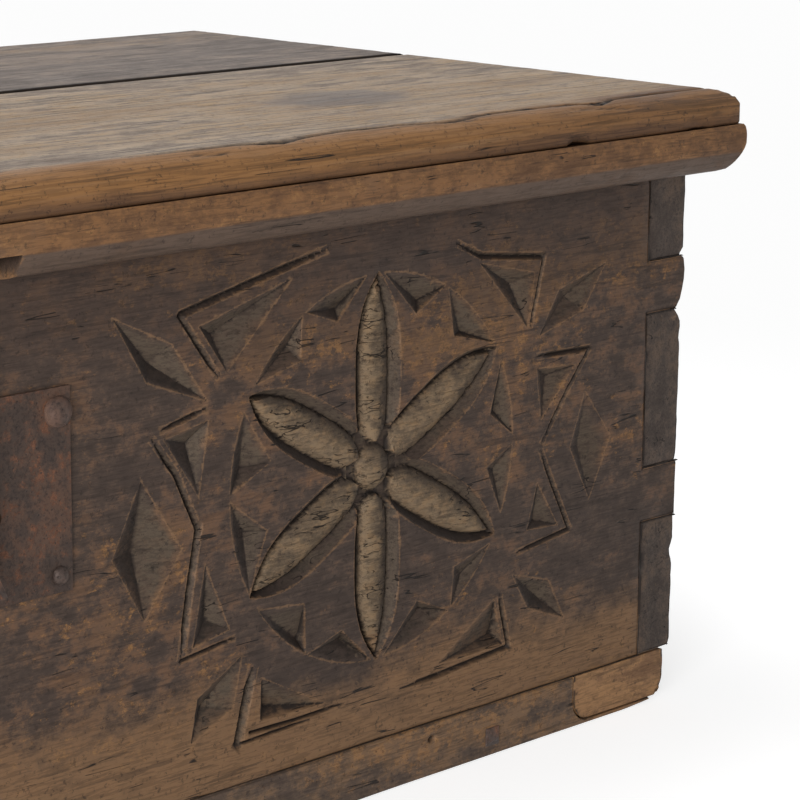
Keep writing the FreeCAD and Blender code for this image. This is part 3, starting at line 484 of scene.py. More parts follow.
    def split(self, distance: Field, width: float, depth: float, seed: int = 0) -> "Workpiece":
        """Opens a crack along a line, wider and deeper in some places; width and depth in mm.

        Args:
            distance: gives each place's distance from the line.
            width: how wide the crack is, in millimetres.
            depth: how deep it is, in millimetres.
            seed: picks where it is wider.

        Returns:
            The same piece.
        """
        places = self.places
        gap = np.minimum(distance(places) / (width * MM), self.faded)
        vary = 0.6 + 0.4 * fractal(places, self.crack_steps, 2, seed)
        return self.sink(depth * MM * vary * np.exp(-gap ** 2))

    def bite(self, dents: Iterable[tuple[Sequence[float], float, float]]) -> "Workpiece":
        """Presses round dents in; each has a place, a radius and a depth in millimetres.

        Args:
            dents: place, radius and depth of each dent, in millimetres.

        Returns:
            The same piece.
        """
        places = self.places
        normals = self.normals
        for place, radius, depth in dents:
            distance = np.linalg.norm(places - np.array(place) * MM, axis=1) / (radius * MM)
            share = np.clip(1 - distance ** 2, 0, 1) ** 1.5
            places -= normals * (depth * MM * share)[:, None]
        self.places = places
        return self

    def mark(self, name: str, values: np.ndarray) -> "Workpiece":
        """Writes a number on every vertex for the finishes to read.

        Args:
            name: what the numbers are called.
            values: one number for each vertex.

        Returns:
            The same piece.
        """
        layer = self.bm.verts.layers.float.get(name) or self.bm.verts.layers.float.new(name)
        for vert, value in zip(self.bm.verts, values.tolist()):
            vert[layer] = value
        return self

    def marked(self, name: str) -> np.ndarray:
        """The numbers written under a name, or zeros."""
        layer = self.bm.verts.layers.float.get(name)
        return np.array([vert[layer] if layer else 0.0 for vert in self.bm.verts])

    def bend(self) -> np.ndarray:
        """How the surface bends at every vertex, from -1 on a sharp arris to 1 in a tight valley.

        Returns:
            One value for each vertex.
        """
        self.bm.verts.index_update()
        ends = np.array([(edge.verts[0].index, edge.verts[1].index) for edge in self.bm.edges])
        places, normals = self.places, self.normals
        run = places[ends[:, 1]] - places[ends[:, 0]]
        run /= np.maximum(np.linalg.norm(run, axis=1), 1e-9)[:, None]
        total, count = np.zeros(len(places)), np.zeros(len(places))
        for here, sign in ((ends[:, 0], 1), (ends[:, 1], -1)):
            total += np.bincount(here, sign * (run * normals[here]).sum(1), len(places))
            count += np.bincount(here, minlength=len(places))
        return total / np.maximum(count, 1)

    def finish(self, name: str, body: str, material: bpy.types.Material, nodes: Sequence[str], slot: str,
               crease: float = 38.0) -> bpy.types.Object:
        """Takes the piece off the bench and hangs it on its body.

        Args:
            name: the piece's name.
            body: the body that it moves with.
            material: its finish.
            nodes: the nodes that it stands for.
            slot: the record's material slot; not used.
            crease: edges sharper than this many degrees stay sharp.

        Returns:
            The finished object.
        """
        bend = self.bend()
        # Valleys are marked for painted shade, sharp edges for pale wear.
        for mark, sign, (gain, less) in (("crevice_shade", 1, self.crevices), ("arris", -1, self.arrises)):
            self.mark(mark, np.maximum(self.marked(mark), np.clip(sign * bend * gain - less, 0, 1)))
        mesh = bpy.data.meshes.new(name)
        self.bm.to_mesh(mesh)
        self.bm.free()
        mesh.polygons.foreach_set("use_smooth", [True] * len(mesh.polygons))
        mesh.set_sharp_from_angle(angle=math.radians(crease))
        mesh.materials.append(material)
        piece = put_in(name, mesh)
        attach(piece, body)
        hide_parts(*nodes)
        log.info("%s: %d faces", name, len(mesh.polygons))
        return piece


# ---- Shader maths ----------------------------------------------------------------------------
class Signal:
    """A number, colour or vector in a finish, which takes part in plain arithmetic."""

    def __init__(self, graph: "Graph", socket: bpy.types.NodeSocket) -> None:
        """Wraps one output socket."""
        self.graph = graph
        self.socket = socket

    def _math(self, operation: str, one: "Signal | float", two: "Signal | float" = 0.0,
              clamp: bool = False) -> "Signal":
        """One Math node on two values."""
        settings = {"operation": operation, "use_clamp": clamp}
        return self.graph.node("ShaderNodeMath", settings, {0: one, 1: two})

    def __add__(self, other: "Signal | float") -> "Signal":
        """self + other."""
        return self._math("ADD", self, other)

    __radd__ = __add__

    def __sub__(self, other: "Signal | float") -> "Signal":
        """self - other."""
        return self._math("SUBTRACT", self, other)

    def __rsub__(self, other: "Signal | float") -> "Signal":
        """other - self."""
        return self._math("SUBTRACT", other, self)

    def __mul__(self, other: "Signal | float") -> "Signal":
        """self * other."""
        return self._math("MULTIPLY", self, other)

    __rmul__ = __mul__

    def clamp(self) -> "Signal":
        """The value kept between 0 and 1."""
        return self._math("ADD", self, 0.0, clamp=True)

    def size(self) -> "Signal":
        """The value without its sign."""
        return self._math("ABSOLUTE", self)

    def band(self, low: float, high: float) -> "Signal":
        """0 below low, 1 above high and a smooth step between; low may be the larger."""
        return self.graph.node("ShaderNodeMapRange", {"interpolation_type": "SMOOTHSTEP"},
                               {"Value": self, "From Min": low, "From Max": high})

    def covers(self, share: float, soft: float = 0.05, spread: float = 0.075) -> "Signal":
        """A mask over about this share of the surface, from a noise; soft is its edge."""
        level = 0.5 + spread * NormalDist().inv_cdf(1 - share)
        return self.band(level - soft / 2, level + soft / 2)


class Graph:
    """The nodes of one finish."""

    def __init__(self, name: str) -> None:
        """Starts a material with a bare surface shader.

        Args:
            name: the material's name.
        """
        self.material = bpy.data.materials.new(name)
        self.material.use_nodes = True
        self.tree = self.material.node_tree
        self.tree.nodes.clear()
        self.shader = self.tree.nodes.new("ShaderNodeBsdfPrincipled")
        self.output = self.tree.nodes.new("ShaderNodeOutputMaterial")
        self.tree.links.new(self.shader.outputs["BSDF"], self.output.inputs["Surface"])

    def node(self, kind: str, settings: dict, inputs: dict, output: int | str = 0) -> Signal:
        """Adds any node.

        Args:
            kind: the node's type.
            settings: its properties, set first.
            inputs: values or signals of its sockets, by name or number.
            output: the output to use, by name or number.

        Returns:
            The signal of that output.
        """
        made = self.tree.nodes.new(kind)
        for key, value in settings.items():
            setattr(made, key, value)
        for key, value in inputs.items():
            self.connect(made.inputs[key], value)
        return Signal(self, made.outputs[output])

    def connect(self, socket: bpy.types.NodeSocket, value: "Signal | float | Sequence[float]") -> None:
        """Sets a socket to a value or a screen colour, or links it to a signal.

        Args:
            socket: the socket to feed.
            value: what it gets.
        """
        if isinstance(value, Signal):
            self.tree.links.new(value.socket, socket)
        else:
            socket.default_value = linear(value) if socket.type == "RGBA" else value

    def coordinates(self) -> Signal:
        """Places on the piece, in metres."""
        return self.node("ShaderNodeTexCoord", {}, {}, "Object")

    def bent(self, vector: Signal, scale: float, amount: float) -> Signal:
        """The places pushed about by a slow noise, so that straight patterns run in waves.

        Args:
            vector: the places.
            scale: how fine the noise is.
            amount: how far it pushes.

        Returns:
            The places after the push.
        """
        noise = {"Vector": vector, "Scale": scale, "Detail": 2.0}
        drift = self.node("ShaderNodeTexNoise", {}, noise, "Color")
        return self.node("ShaderNodeVectorMath", {"operation": "MULTIPLY_ADD"},
                         {0: drift, 1: (amount,) * 3, 2: vector})

    def scaled(self, vector: Signal, scale: Sequence[float], shift: float = 0.0) -> Signal:
        """The places scaled along each axis and shifted."""
        inputs = {"Vector": vector, "Scale": scale, "Location": (shift,) * 3}
        return self.node("ShaderNodeMapping", {}, inputs)

    def noise(self, vector: Signal, scale: float = 1.0, detail: float = 4.0,
              roughness: float = 0.6) -> Signal:
        """Cloudy noise from 0 to 1, mostly near 0.5."""
        inputs = {"Vector": vector, "Scale": scale, "Detail": detail, "Roughness": roughness}
        return self.node("ShaderNodeTexNoise", {}, inputs)

    def cells(self, vector: Signal, scale: float) -> Signal:
        """Distance from the nearest of many scattered points."""
        return self.node("ShaderNodeTexVoronoi", {}, {"Vector": vector, "Scale": scale}, "Distance")

    def attribute(self, name: str) -> Signal:
        """A number written on the mesh."""
        return self.node("ShaderNodeAttribute", {"attribute_name": name}, {}, "Fac")

    def height(self, place: Signal) -> Signal:
        """How high a place is, in metres."""
        return self.node("ShaderNodeSeparateXYZ", {}, {0: place}, "Z")

    def mix(self, factor: Signal | float, one: "Signal | Colour", two: "Signal | Colour") -> Signal:
        """The second colour over the first."""
        return self.node("ShaderNodeMix", {"data_type": "RGBA"}, {0: factor, 6: one, 7: two}, 2)

    def coats(self, colour: Signal, *coats: "tuple[Signal, Signal | Colour]") -> Signal:
        """Coats laid over a colour in turn, each with its mask.

        Args:
            colour: the colour below.
            coats: mask and colour of each coat, the lowest first.

        Returns:
            The colour on top.
        """
        for mask, coat in coats:
            colour = self.mix(mask, colour, coat)
        return colour

    def close(self, colour: Signal, roughness: Signal, relief: Signal, depth: float, strength: float,
              specular: float) -> bpy.types.Material:
        """Connects the surface and hands over the material.

        Args:
            colour: base colour.
            roughness: roughness before it is kept between 0 and 1.
            relief: height of the fine relief.
            depth: what a relief of 1 measures, in metres.
            strength: strength of the bump.
            specular: specular level.

        Returns:
            The finished material.
        """
        inputs = {"Height": relief, "Distance": depth, "Strength": strength}
        self.connect(self.shader.inputs["Base Color"], colour)
        self.connect(self.shader.inputs["Roughness"], roughness.clamp())
        self.connect(self.shader.inputs["Normal"], self.node("ShaderNodeBump", {}, inputs))
        self.shader.inputs["Specular IOR Level"].default_value = specular
        return self.material


def linear(screen: Sequence[float]) -> tuple[float, ...]:
    """A screen colour, its parts from 0 to 255, as the linear one with alpha that shaders take."""
    return (*(((value / 255 + 0.055) / 1.055) ** 2.4 for value in screen), 1)


# ---- Finishes --------------------------------------------------------------------------------
@dataclass(frozen=True)
class Tint:
    """Another colour over part of a board's height, its border ragged."""

    colour: Colour
    full: float
    none: float
    strength: float = 0.85


class Figure(Enum):
    """The noises in oak: steps in a metre along and across the grain, detail, roughness and order."""

    BROAD = (5, 12, 4, 0.55, 1)
    PATCH = (44, 62, 10, 0.74, 2)
    FLECKS = (95, 150, 8, 0.74, 3)
    STREAK = (12, 210, 5, 0.66, 4)
    FIBRE = (60, 660, 4, 0.6, 5)
    WANDER = (7, 120, 2, 0.5, 6)
    GATE = (22, 60, 3, 0.6, 7)
    SPLIT = (30, 170, 2, 0.5, 8)


@dataclass(frozen=True)
class OakFinish:
    """Old oak: streaked skin, rubbed and bare patches, cracks, worm holes and dusty hollows with painted
    shade.
    """

    name: str
    skin: Colour
    shade: Colour
    # The wood's darker tone; on the cut facets it also paints shade on those that face right and up.
    rubbed: Colour
    bare: Colour
    grain: Grain = Grain.LENGTH
    rubbed_share: float = 0.35
    bare_share: float = 0.12
    cut: Colour = (79, 68, 57)
    # Dark grain, streaks and specks, and also painted shade on the facets and in the valleys, cracks and
    # gaps.
    grime_and_painted_shade: Colour = (30, 24, 21)
    petal: Colour = (134, 114, 90)
    arris: Colour = (122, 94, 69)
    inside: Colour = (120, 100, 80)
    stain: Colour = (96, 92, 92)
    nose: Colour = (132, 96, 60)
    hole: Colour = (20, 15, 12)
    cracks: float = 0.2
    worm: float = 0.25
    sheen: float = 0.58
    relief: float = 0.8
    relief_depth: float = 0.7 * MM
    specular: float = 0.18
    stretch: float = 1.0
    streaks: float = 0.1
    speck_steps: float = 270
    worm_steps: float = 72
    worm_width: float = 0.068
    seed: float = 0.0
    seed_step: float = 3.7
    tints: tuple[Tint, ...] = ()

    def material(self) -> bpy.types.Material:
        """Builds the shader.

        Returns:
            The material.
        """
        graph = Graph(self.name)
        place = graph.coordinates()
        wavy = graph.bent(place, 3.0, 0.004)
        broad, patch, flecks, streak, fibre = (self._layer(graph, wavy, figure) for figure in (
            Figure.BROAD, Figure.PATCH, Figure.FLECKS, Figure.STREAK, Figure.FIBRE))
        speck = graph.noise(place, self.speck_steps, 4, 0.7)
        clouds = patch + broad - 1.0
        worn = patch * 0.5 + broad * 0.33 + flecks * 0.17
        fresh = flecks * 0.42 + broad * 0.36 + speck * 0.22
        tone = (patch * 0.45 + streak * 0.15 + flecks * 0.2 + broad * 0.2).band(0.42, 0.58)
        nose = (graph.attribute("nose") + clouds * 0.8).band(0.3, 0.6)
        stained = (graph.attribute("stain") + clouds * 1.4).band(0.3, 0.75)
        colour = graph.coats(
            graph.mix(tone, self.shade, self.skin),
            (worn.covers(self.rubbed_share, 0.09, 0.052) * 0.85, self.rubbed),
            (fresh.covers(self.bare_share, 0.06, 0.05) * 0.75, self.bare),
            (nose * (0.5 + streak).clamp(), self.nose), (stained * 0.7, self.stain))
        height = graph.height(place)
        for tint in self.tints:
            reach = height.band(tint.none, tint.full) * 1.15 + (patch * 0.7 + broad * 1.3 - 1.0) * 2.2
            colour = graph.mix(reach.band(0.0, 1.05) * tint.strength, colour, tint.colour)
        within = graph.attribute("inner") * (0.6 + broad * 0.6)
        colour = self._cuts(graph, graph.mix(within.clamp(), colour, self.inside), patch, flecks, speck)
        cracks, holes = self._crack_lines(graph, wavy), self._worm_holes(graph, place)
        colour = graph.coats(
            colour, (fibre.covers(0.35, 0.06) * 0.25, self.grime_and_painted_shade),
            (streak.covers(self.streaks, 0.04, 0.08) * 0.4, self.grime_and_painted_shade),
            (speck.covers(0.06, 0.05, 0.08) * 0.5, self.grime_and_painted_shade), ((cracks + holes).clamp() * 0.93, self.hole))
        relief = fibre * 0.5 + streak * 0.55 + patch * 0.4 + speck * 0.2 - cracks * 1.6 - holes * 2.5
        roughness = self.sheen + (fibre - 0.5) * 0.3 + (0.5 - patch) * 0.35 + graph.attribute("hollow") * 0.15
        return graph.close(colour, roughness, relief, self.relief_depth, self.relief, self.specular)

    def _layer(self, graph: Graph, place: Signal, figure: Figure) -> Signal:
        """A noise drawn out along the grain.

        Args:
            graph: the material's graph.
            place: places on the board.
            figure: which noise is meant.

        Returns:
            The noise.
        """
        along, across, detail, roughness, order = figure.value
        scale = [across] * 3
        scale[self.grain.value] = along / self.stretch
        where = graph.scaled(place, scale, self.seed + order * self.seed_step)
        return graph.noise(where, 1.0, detail, roughness)

    def _cuts(self, graph: Graph, colour: Signal, patch: Signal, flecks: Signal, speck: Signal) -> Signal:
        """The knife cuts: facets and petals with painted light and shade by the way they face, painted shade
        in the valleys, pale arrises.

        Args:
            graph: the material's graph.
            colour: the wood's colour.
            patch: noise of broad patches.
            flecks: noise of the grain's flecks.
            speck: noise of fine specks.

        Returns:
            The colour with the cuts.
        """
        hollow, tone, petal, arris, crevice_shade = map(
            graph.attribute, ("hollow", "tone", "petal", "arris", "crevice_shade"))
        rough = (patch + flecks - 1.0) * 1.6
        # Painted light and shade: each facet and petal is lighter or darker by the way it faces, from tone.
        painted_facet_light = (tone + rough * 0.6).band(0.2, 0.75)
        facet = graph.mix(painted_facet_light, self.shade, self.cut)
        facet = graph.mix((0.6 - tone + rough * 0.7).band(0.05, 0.4) * 0.8, facet, self.grime_and_painted_shade)
        brown = graph.mix((flecks - 0.5 + speck * 0.2).band(0.0, 0.3) * 0.3, self.petal, self.bare)
        # The coats: facets, petals, pale worn arrises, then painted shade in the valleys, cracks and gaps.
        return graph.coats(
            colour, ((hollow * (0.85 + rough)).clamp(), facet),
            ((petal * (0.9 + rough * 0.5)).clamp() * 0.92, graph.mix(painted_facet_light, self.cut, brown)),
            ((arris * 1.1 + rough * 1.1 - 0.3).band(0.1, 0.7) * 0.6, self.arris),
            ((crevice_shade * 1.4 + (speck - 0.5) * 0.6).clamp() * 0.92, self.grime_and_painted_shade))

    def _crack_lines(self, graph: Graph, place: Signal) -> Signal:
        """Thin checks along the grain, closer together on the petals.

        Args:
            graph: the material's graph.
            place: places on the board.

        Returns:
            How surely a place lies in a check.
        """
        wander, gate, split = (self._layer(graph, place, figure) for figure in (
            Figure.WANDER, Figure.GATE, Figure.SPLIT))
        petal = graph.attribute("petal")
        line = (wander - 0.5).size().band(0.012, 0.003)
        short = (split - 0.5).size().band(0.016, 0.005) * (gate + petal * 0.03).band(0.54, 0.58)
        return (line * gate.covers(self.cracks * 0.5, 0.03, 0.08) + short * petal).clamp()

    def _worm_holes(self, graph: Graph, place: Signal) -> Signal:
        """Round flight holes, a millimetre or two across, thick in some places and rare in others.

        Args:
            graph: the material's graph.
            place: places on the board.

        Returns:
            How surely a place lies in a hole.
        """
        distance = graph.cells(graph.scaled(place, (1, 1, 1), self.seed), self.worm_steps)
        fewer = 0.2 * self.worm
        size = graph.noise(place, 13, 3, 0.6).band(0.66 - fewer, 0.8 - fewer) * self.worm_width
        return (size - distance).band(0.0, 0.014)

@dataclass(frozen=True)
class IronFinish:
    """Wrought iron, dark from the fire and rusted in blooms."""

    name: str
    skin: Colour = (74, 64, 60)
    rust: Colour = (93, 66, 52)
    bloom: Colour = (113, 77, 57)
    scale: Colour = (58, 46, 41)
    soot: Colour = (30, 23, 21)
    pit: Colour = (28, 22, 20)
    rust_share: float = 0.4
    relief: float = 0.85
    relief_depth: float = 0.6 * MM
    specular: float = 0.4

    def material(self) -> bpy.types.Material:
        """Builds the shader.

        Returns:
            The material.
        """
        graph = Graph(self.name)
        place = graph.coordinates()
        cloud, blotch, grit = (graph.noise(place, steps, detail, roughness) for steps, detail, roughness in (
            (30, 8, 0.7), (90, 6, 0.68), (420, 4, 0.7)))
        pits = graph.cells(place, 260)
        rusted = (cloud * 0.65 + blotch * 0.35).covers(self.rust_share, 0.12, 0.06)
        colour = graph.coats(
            graph.mix(blotch.band(0.3, 0.55), self.scale, self.skin), (rusted * 0.85, self.rust),
            ((blotch * 0.6 + grit * 0.4).covers(0.2, 0.04, 0.055) * rusted, self.bloom),
            (grit.covers(0.3, 0.06) * 0.4, self.soot), (pits.band(0.22, 0.05) * 0.6, self.pit))
        relief = cloud * 0.9 + blotch * 0.6 + grit * 0.4 - pits.band(0.25, 0.0) * 0.8
        roughness = 0.55 + (grit - 0.5) * 0.5 + rusted * 0.2
        graph.connect(graph.shader.inputs["Metallic"], 0.5 - rusted * 0.45)
        return graph.close(colour, roughness, relief, self.relief_depth, self.relief, self.specular)


FRONT_OAK = OakFinish(
    "front_oak", skin=(84, 68, 58), shade=(60, 49, 43), rubbed=(102, 75, 56), bare=(150, 109, 67),
    rubbed_share=0.32, bare_share=0.09, cracks=0.15, worm=0.35, tints=(
        # Golden towards the foot: more worn wood there, and painted light from the floor's bounce.
        Tint((130, 99, 70), WALL_Z, WALL_Z + 100 * MM, 0.75),
        # Painted shade under the moulding, darker towards the rim.
        Tint((60, 47, 40), RIM_Z - 30 * MM, RIM_Z - 130 * MM, 0.7)))
SIDE_OAK = OakFinish(
    "side_oak", skin=(78, 67, 60), shade=(60, 51, 46), rubbed=(90, 74, 62), bare=(116, 94, 74),
    grain=Grain.DEPTH, rubbed_share=0.25, bare_share=0.04, arris=(104, 86, 70), worm=0.3, seed=3.1)
BACK_OAK = OakFinish(
    "back_oak", skin=(94, 80, 68), shade=(72, 60, 53), rubbed=(112, 90, 70), bare=(136, 108, 82),
    bare_share=0.1, arris=(128, 104, 80), cracks=0.25, worm=0.35, seed=5.3)
BOTTOM_OAK = OakFinish(
    "bottom_oak", skin=(104, 86, 71), shade=(76, 63, 55), rubbed=(118, 92, 69), bare=(146, 108, 72),
    rubbed_share=0.4, arris=(140, 108, 78), cracks=0.25, worm=0.45, seed=7.7)
PATCH_OAK = OakFinish(
    "patch_oak", skin=(148, 114, 82), shade=(118, 88, 64), rubbed=(156, 118, 82), bare=(170, 130, 90),
    rubbed_share=0.4, bare_share=0.1, arris=(150, 116, 84), worm=0.3, seed=9.2)
LID_OAK = OakFinish(
    "lid_oak", skin=(162, 145, 126), shade=(108, 92, 79), rubbed=(162, 139, 112), bare=(156, 126, 88),
    rubbed_share=0.4, bare_share=0.16, arris=(146, 112, 76), nose=(134, 96, 59), inside=(132, 112, 90),
    cracks=0.24, sheen=0.55, relief=0.9, stretch=2.2, streaks=0.24, seed=2.4,
    tints=(Tint((82, 58, 42), LID_Z - 1 * MM, LID_Z + 15 * MM, 0.85),))
REAR_LID_OAK = OakFinish(
    "rear_lid_oak", skin=(114, 101, 92), shade=(86, 75, 68), rubbed=(124, 107, 93), bare=(134, 112, 88),
    bare_share=0.1, arris=(130, 107, 82), nose=(110, 85, 60), inside=(128, 110, 88),
    worm=0.2, sheen=0.55, relief=0.9, stretch=2.2, streaks=0.2, seed=6.1)
MOULDING_OAK = OakFinish(
    "moulding_oak", skin=(119, 86, 57), shade=(95, 68, 47), rubbed=(125, 89, 57), bare=(146, 107, 68),
    rubbed_share=0.4, bare_share=0.1, arris=(146, 106, 68), grime_and_painted_shade=(44, 34, 28), cracks=0.12, worm=0.55,
    seed=4.6, tints=(Tint((84, 70, 61), LID_Z - 19 * MM, LID_Z - 16.5 * MM, 0.9),))
INNER_OAK = OakFinish(
    "inner_oak", skin=(128, 108, 86), shade=(104, 86, 68), rubbed=(142, 118, 92), bare=(152, 126, 98),
    grain=Grain.DEPTH, cracks=0.15, worm=0.3, sheen=0.62, seed=8.8)
PLATE_IRON = IronFinish(
    "plate_iron", skin=(63, 50, 43), rust=(78, 55, 42), bloom=(104, 66, 45), rust_share=0.45)
NAIL_IRON = IronFinish("nail_iron", skin=(78, 65, 59), rust=(86, 63, 52), bloom=(100, 75, 61))
FORGED_IRON = IronFinish("forged_iron")


# ---- Carving ---------------------------------------------------------------------------------
def heading(degrees: float) -> tuple[np.ndarray, np.ndarray]:
    """The way that an angle points in the plane, and the way square to it.

    Args:
        degrees: the angle, from the first axis.

    Returns:
        Both ways, as vectors of length 1.
    """
    turn = math.radians(degrees)
    way = np.array([math.cos(turn), math.sin(turn)])
    return way, np.array([-way[1], way[0]])


def on_circle(radius: float, turns: np.ndarray) -> list[Pair]:
    """Points on a circle about the rosette's middle, at angles in radians."""
    return [(radius * math.cos(turn), radius * math.sin(turn)) for turn in turns]


@dataclass(frozen=True)
class Chip:
    """A chip cut out with a knife: flat facets that fall from a convex outline to one deep point.

    Places are in millimetres from the rosette's middle, to the right and up.
    """

    corners: tuple[Pair, ...]
    deep: Pair
    depth: float = 6.5

    def outline(self) -> np.ndarray:
        """The outline's lines."""
        return polyline(self.corners, closed=True)

    def lines(self) -> np.ndarray:
        """The outline and the valleys from its corners to the deep point."""
        valleys = np.array([[*corner, *self.deep] for corner in self.corners])
        return np.vstack([self.outline(), valleys])

    def sink(self, plan: np.ndarray) -> np.ndarray:
        """Depth in millimetres at each place.

        Args:
            plan: places in millimetres from the rosette's middle.

        Returns:
            One depth for each place.
        """
        share = np.full(len(plan), np.inf)
        for x0, z0, x1, z1 in self.outline():
            across = np.array([z0 - z1, x1 - x0])
            reach = (np.array(self.deep) - (x0, z0)) @ across
            share = np.minimum(share, (plan - (x0, z0)) @ across / reach)
        return self.depth * np.clip(share, 0, 1)


@dataclass(frozen=True)
class Groove:
    """A V-shaped line, widest along its middle and fading out at its ends."""

    points: tuple[Pair, ...]
    width: float = 4.5
    depth: float = 3.2
    blunt_start: bool = False
    blunt_end: bool = False
    tip: float = 0.12
    taper: float = 0.3

    def lines(self) -> np.ndarray:
        """The bottom line and both banks.

        Returns:
            One row per line, with both ends.
        """
        middle = polyline(self.points)
        banks = []
        for x0, z0, x1, z1 in middle:
            run = np.array([x1 - x0, z1 - z0])
            side = np.array([-run[1], run[0]]) / np.linalg.norm(run) * self.width / 2
            banks += [np.array([x0, z0, x1, z1]) + sign * np.tile(side, 2) for sign in (-1, 1)]
        return np.vstack([middle, banks])

    def sink(self, plan: np.ndarray) -> np.ndarray:
        """Depth in millimetres at each place.

        Args:
            plan: places in millimetres from the rosette's middle.

        Returns:
            One depth for each place.
        """
        middle = polyline(self.points)
        runs = np.hypot(middle[:, 2] - middle[:, 0], middle[:, 3] - middle[:, 1])
        best = np.zeros(len(plan))
        before = 0.0
        for (x0, z0, x1, z1), run in zip(middle, runs):
            way = np.array([x1 - x0, z1 - z0]) / run
            along = np.clip((plan - (x0, z0)) @ way, 0, run)
            gap = np.linalg.norm(plan - (np.array([x0, z0]) + along[:, None] * way), axis=1)
            share = (before + along) / runs.sum()
            fade = np.ones(len(plan))
            for blunt, from_end in ((self.blunt_start, share), (self.blunt_end, 1 - share)):
                if not blunt:
                    fade = np.minimum(fade, self.tip + from_end / self.taper)
            best = np.maximum(best, self.depth * fade * np.clip(1 - gap / (self.width / 2 * fade), 0, 1))
            before += run
        return best


@dataclass(frozen=True)
class Rosette:
    """A six-petalled compass rosette: trenches cut round raised petals and a boss; sizes in mm."""

    radius: float = 125.0
    half_width: float = 20.0
    waist: float = 0.48
    lobe_share: float = 0.66
    lobe_end: float = 0.97
    trench: float = 7.5
    crest: float = 1.2
    ridge: float = 1.8
    boss: float = 15.0
    boss_top: float = 0.8
    well: float = 1.9
    petal_start: float = 17.0
    inner_round: float = 13.0
    petals: tuple[int, ...] = (30, 90, 150, 210, 270, 330)

    def outer_half(self, along: np.ndarray) -> np.ndarray:
        """Half of the trench's width."""
        share = np.clip(along / self.radius, 0, 1)
        return self.half_width * np.clip(1 - np.abs((share - self.waist) / (1 - self.waist)) ** 3, 0, 1)

    def lobe_half(self, along: np.ndarray) -> np.ndarray:
        """Half of the raised petal's width."""
        inner = np.clip((along - self.petal_start) / self.inner_round, 0, 1)
        return self.lobe_share * self.outer_half(along / self.lobe_end) * np.sqrt(1 - (1 - inner) ** 2)

    def lines(self) -> np.ndarray:
        """The banks of the trenches, the feet of the petals and the boss.

        Returns:
            One row per line, with both ends.
        """
        found = []
        steps = np.linspace(0.2, 1, 23) * self.radius
        feet = np.linspace(self.petal_start, self.lobe_end * self.radius, 23)
        for angle in self.petals:
            way, side = heading(angle)
            for sign in (-1, 1):
                for along, half in ((steps, self.outer_half(steps)), (feet, self.lobe_half(feet))):
                    found.append(polyline((along[:, None] * way + sign * half[:, None] * side).tolist()))
        return np.vstack([*found, polyline(on_circle(self.boss, np.linspace(0, 2 * math.pi, 25)))])

    def sink(self, plan: np.ndarray) -> tuple[np.ndarray, np.ndarray]:
        """Depth in millimetres, and how surely a place is on a petal or the boss.

        Args:
            plan: places in millimetres from the rosette's middle.

        Returns:
            The depths and the shares, from 0 to 1.
        """
        trench, share = np.zeros(len(plan)), np.zeros(len(plan))
        raised = np.full(len(plan), np.inf)
        for angle in self.petals:
            along, across = (plan @ way for way in heading(angle))
            across = np.abs(across)
            outer = np.maximum(self.outer_half(along), LEAST)
            lobe = self.lobe_half(along)
            wall = np.clip((outer - across) / np.maximum(outer - lobe, LEAST), 0, 1)
            trench = np.maximum(trench, self.trench * np.where((along > 0) & (along < self.radius), wall, 0))
            on_lobe = (across < lobe) & (along > self.petal_start) & (along < self.radius)
            ratio = np.where(on_lobe, across / np.maximum(lobe, LEAST), 1)
            foot = (self.trench - self.crest - self.ridge) * (1 - np.sqrt(np.clip(1 - ratio ** 4, 0, 1)))
            raised = np.where(on_lobe, np.minimum(raised, self.crest + self.ridge * ratio + foot), raised)
            share = np.where(on_lobe, np.maximum(share, 1 - 0.55 * ratio ** 3), share)
        reach = np.linalg.norm(plan, axis=1)
        in_well = (reach < self.well * self.boss) & (trench > 0)
        trench = np.where(in_well, np.maximum(trench, self.trench * 0.9), trench)
        ratio = np.clip(reach / self.boss, 0, 1)
        knob = self.boss_top + (self.trench - self.boss_top) * (1 - np.sqrt(1 - ratio ** 2.2))
        raised = np.where(reach < self.boss, knob, raised)
        share = np.where(reach < self.boss, 1 - 0.5 * ratio ** 3, share)
        depth = np.minimum(np.where(np.isfinite(raised), np.maximum(trench, self.crest), trench), raised)
        return depth, share


def rim_chip(start: float, end: float, inner: Pair, deep: Pair, depth: float = 6.5, radius: float = 124.0
             ) -> Chip:
    """A chip inside the rosette's circle.

    Args:
        start: degrees where its arc on the circle starts.
        end: degrees where the arc ends.
        inner: its corner towards the middle.
        deep: its deepest point.
        depth: how deep it is.
        radius: the circle's radius.

    Returns:
        The chip, its outline turning the same way as its arc.
    """
    arc = on_circle(radius, np.radians(np.linspace(start, end, 7)))
    return Chip((*arc, inner), deep, depth)


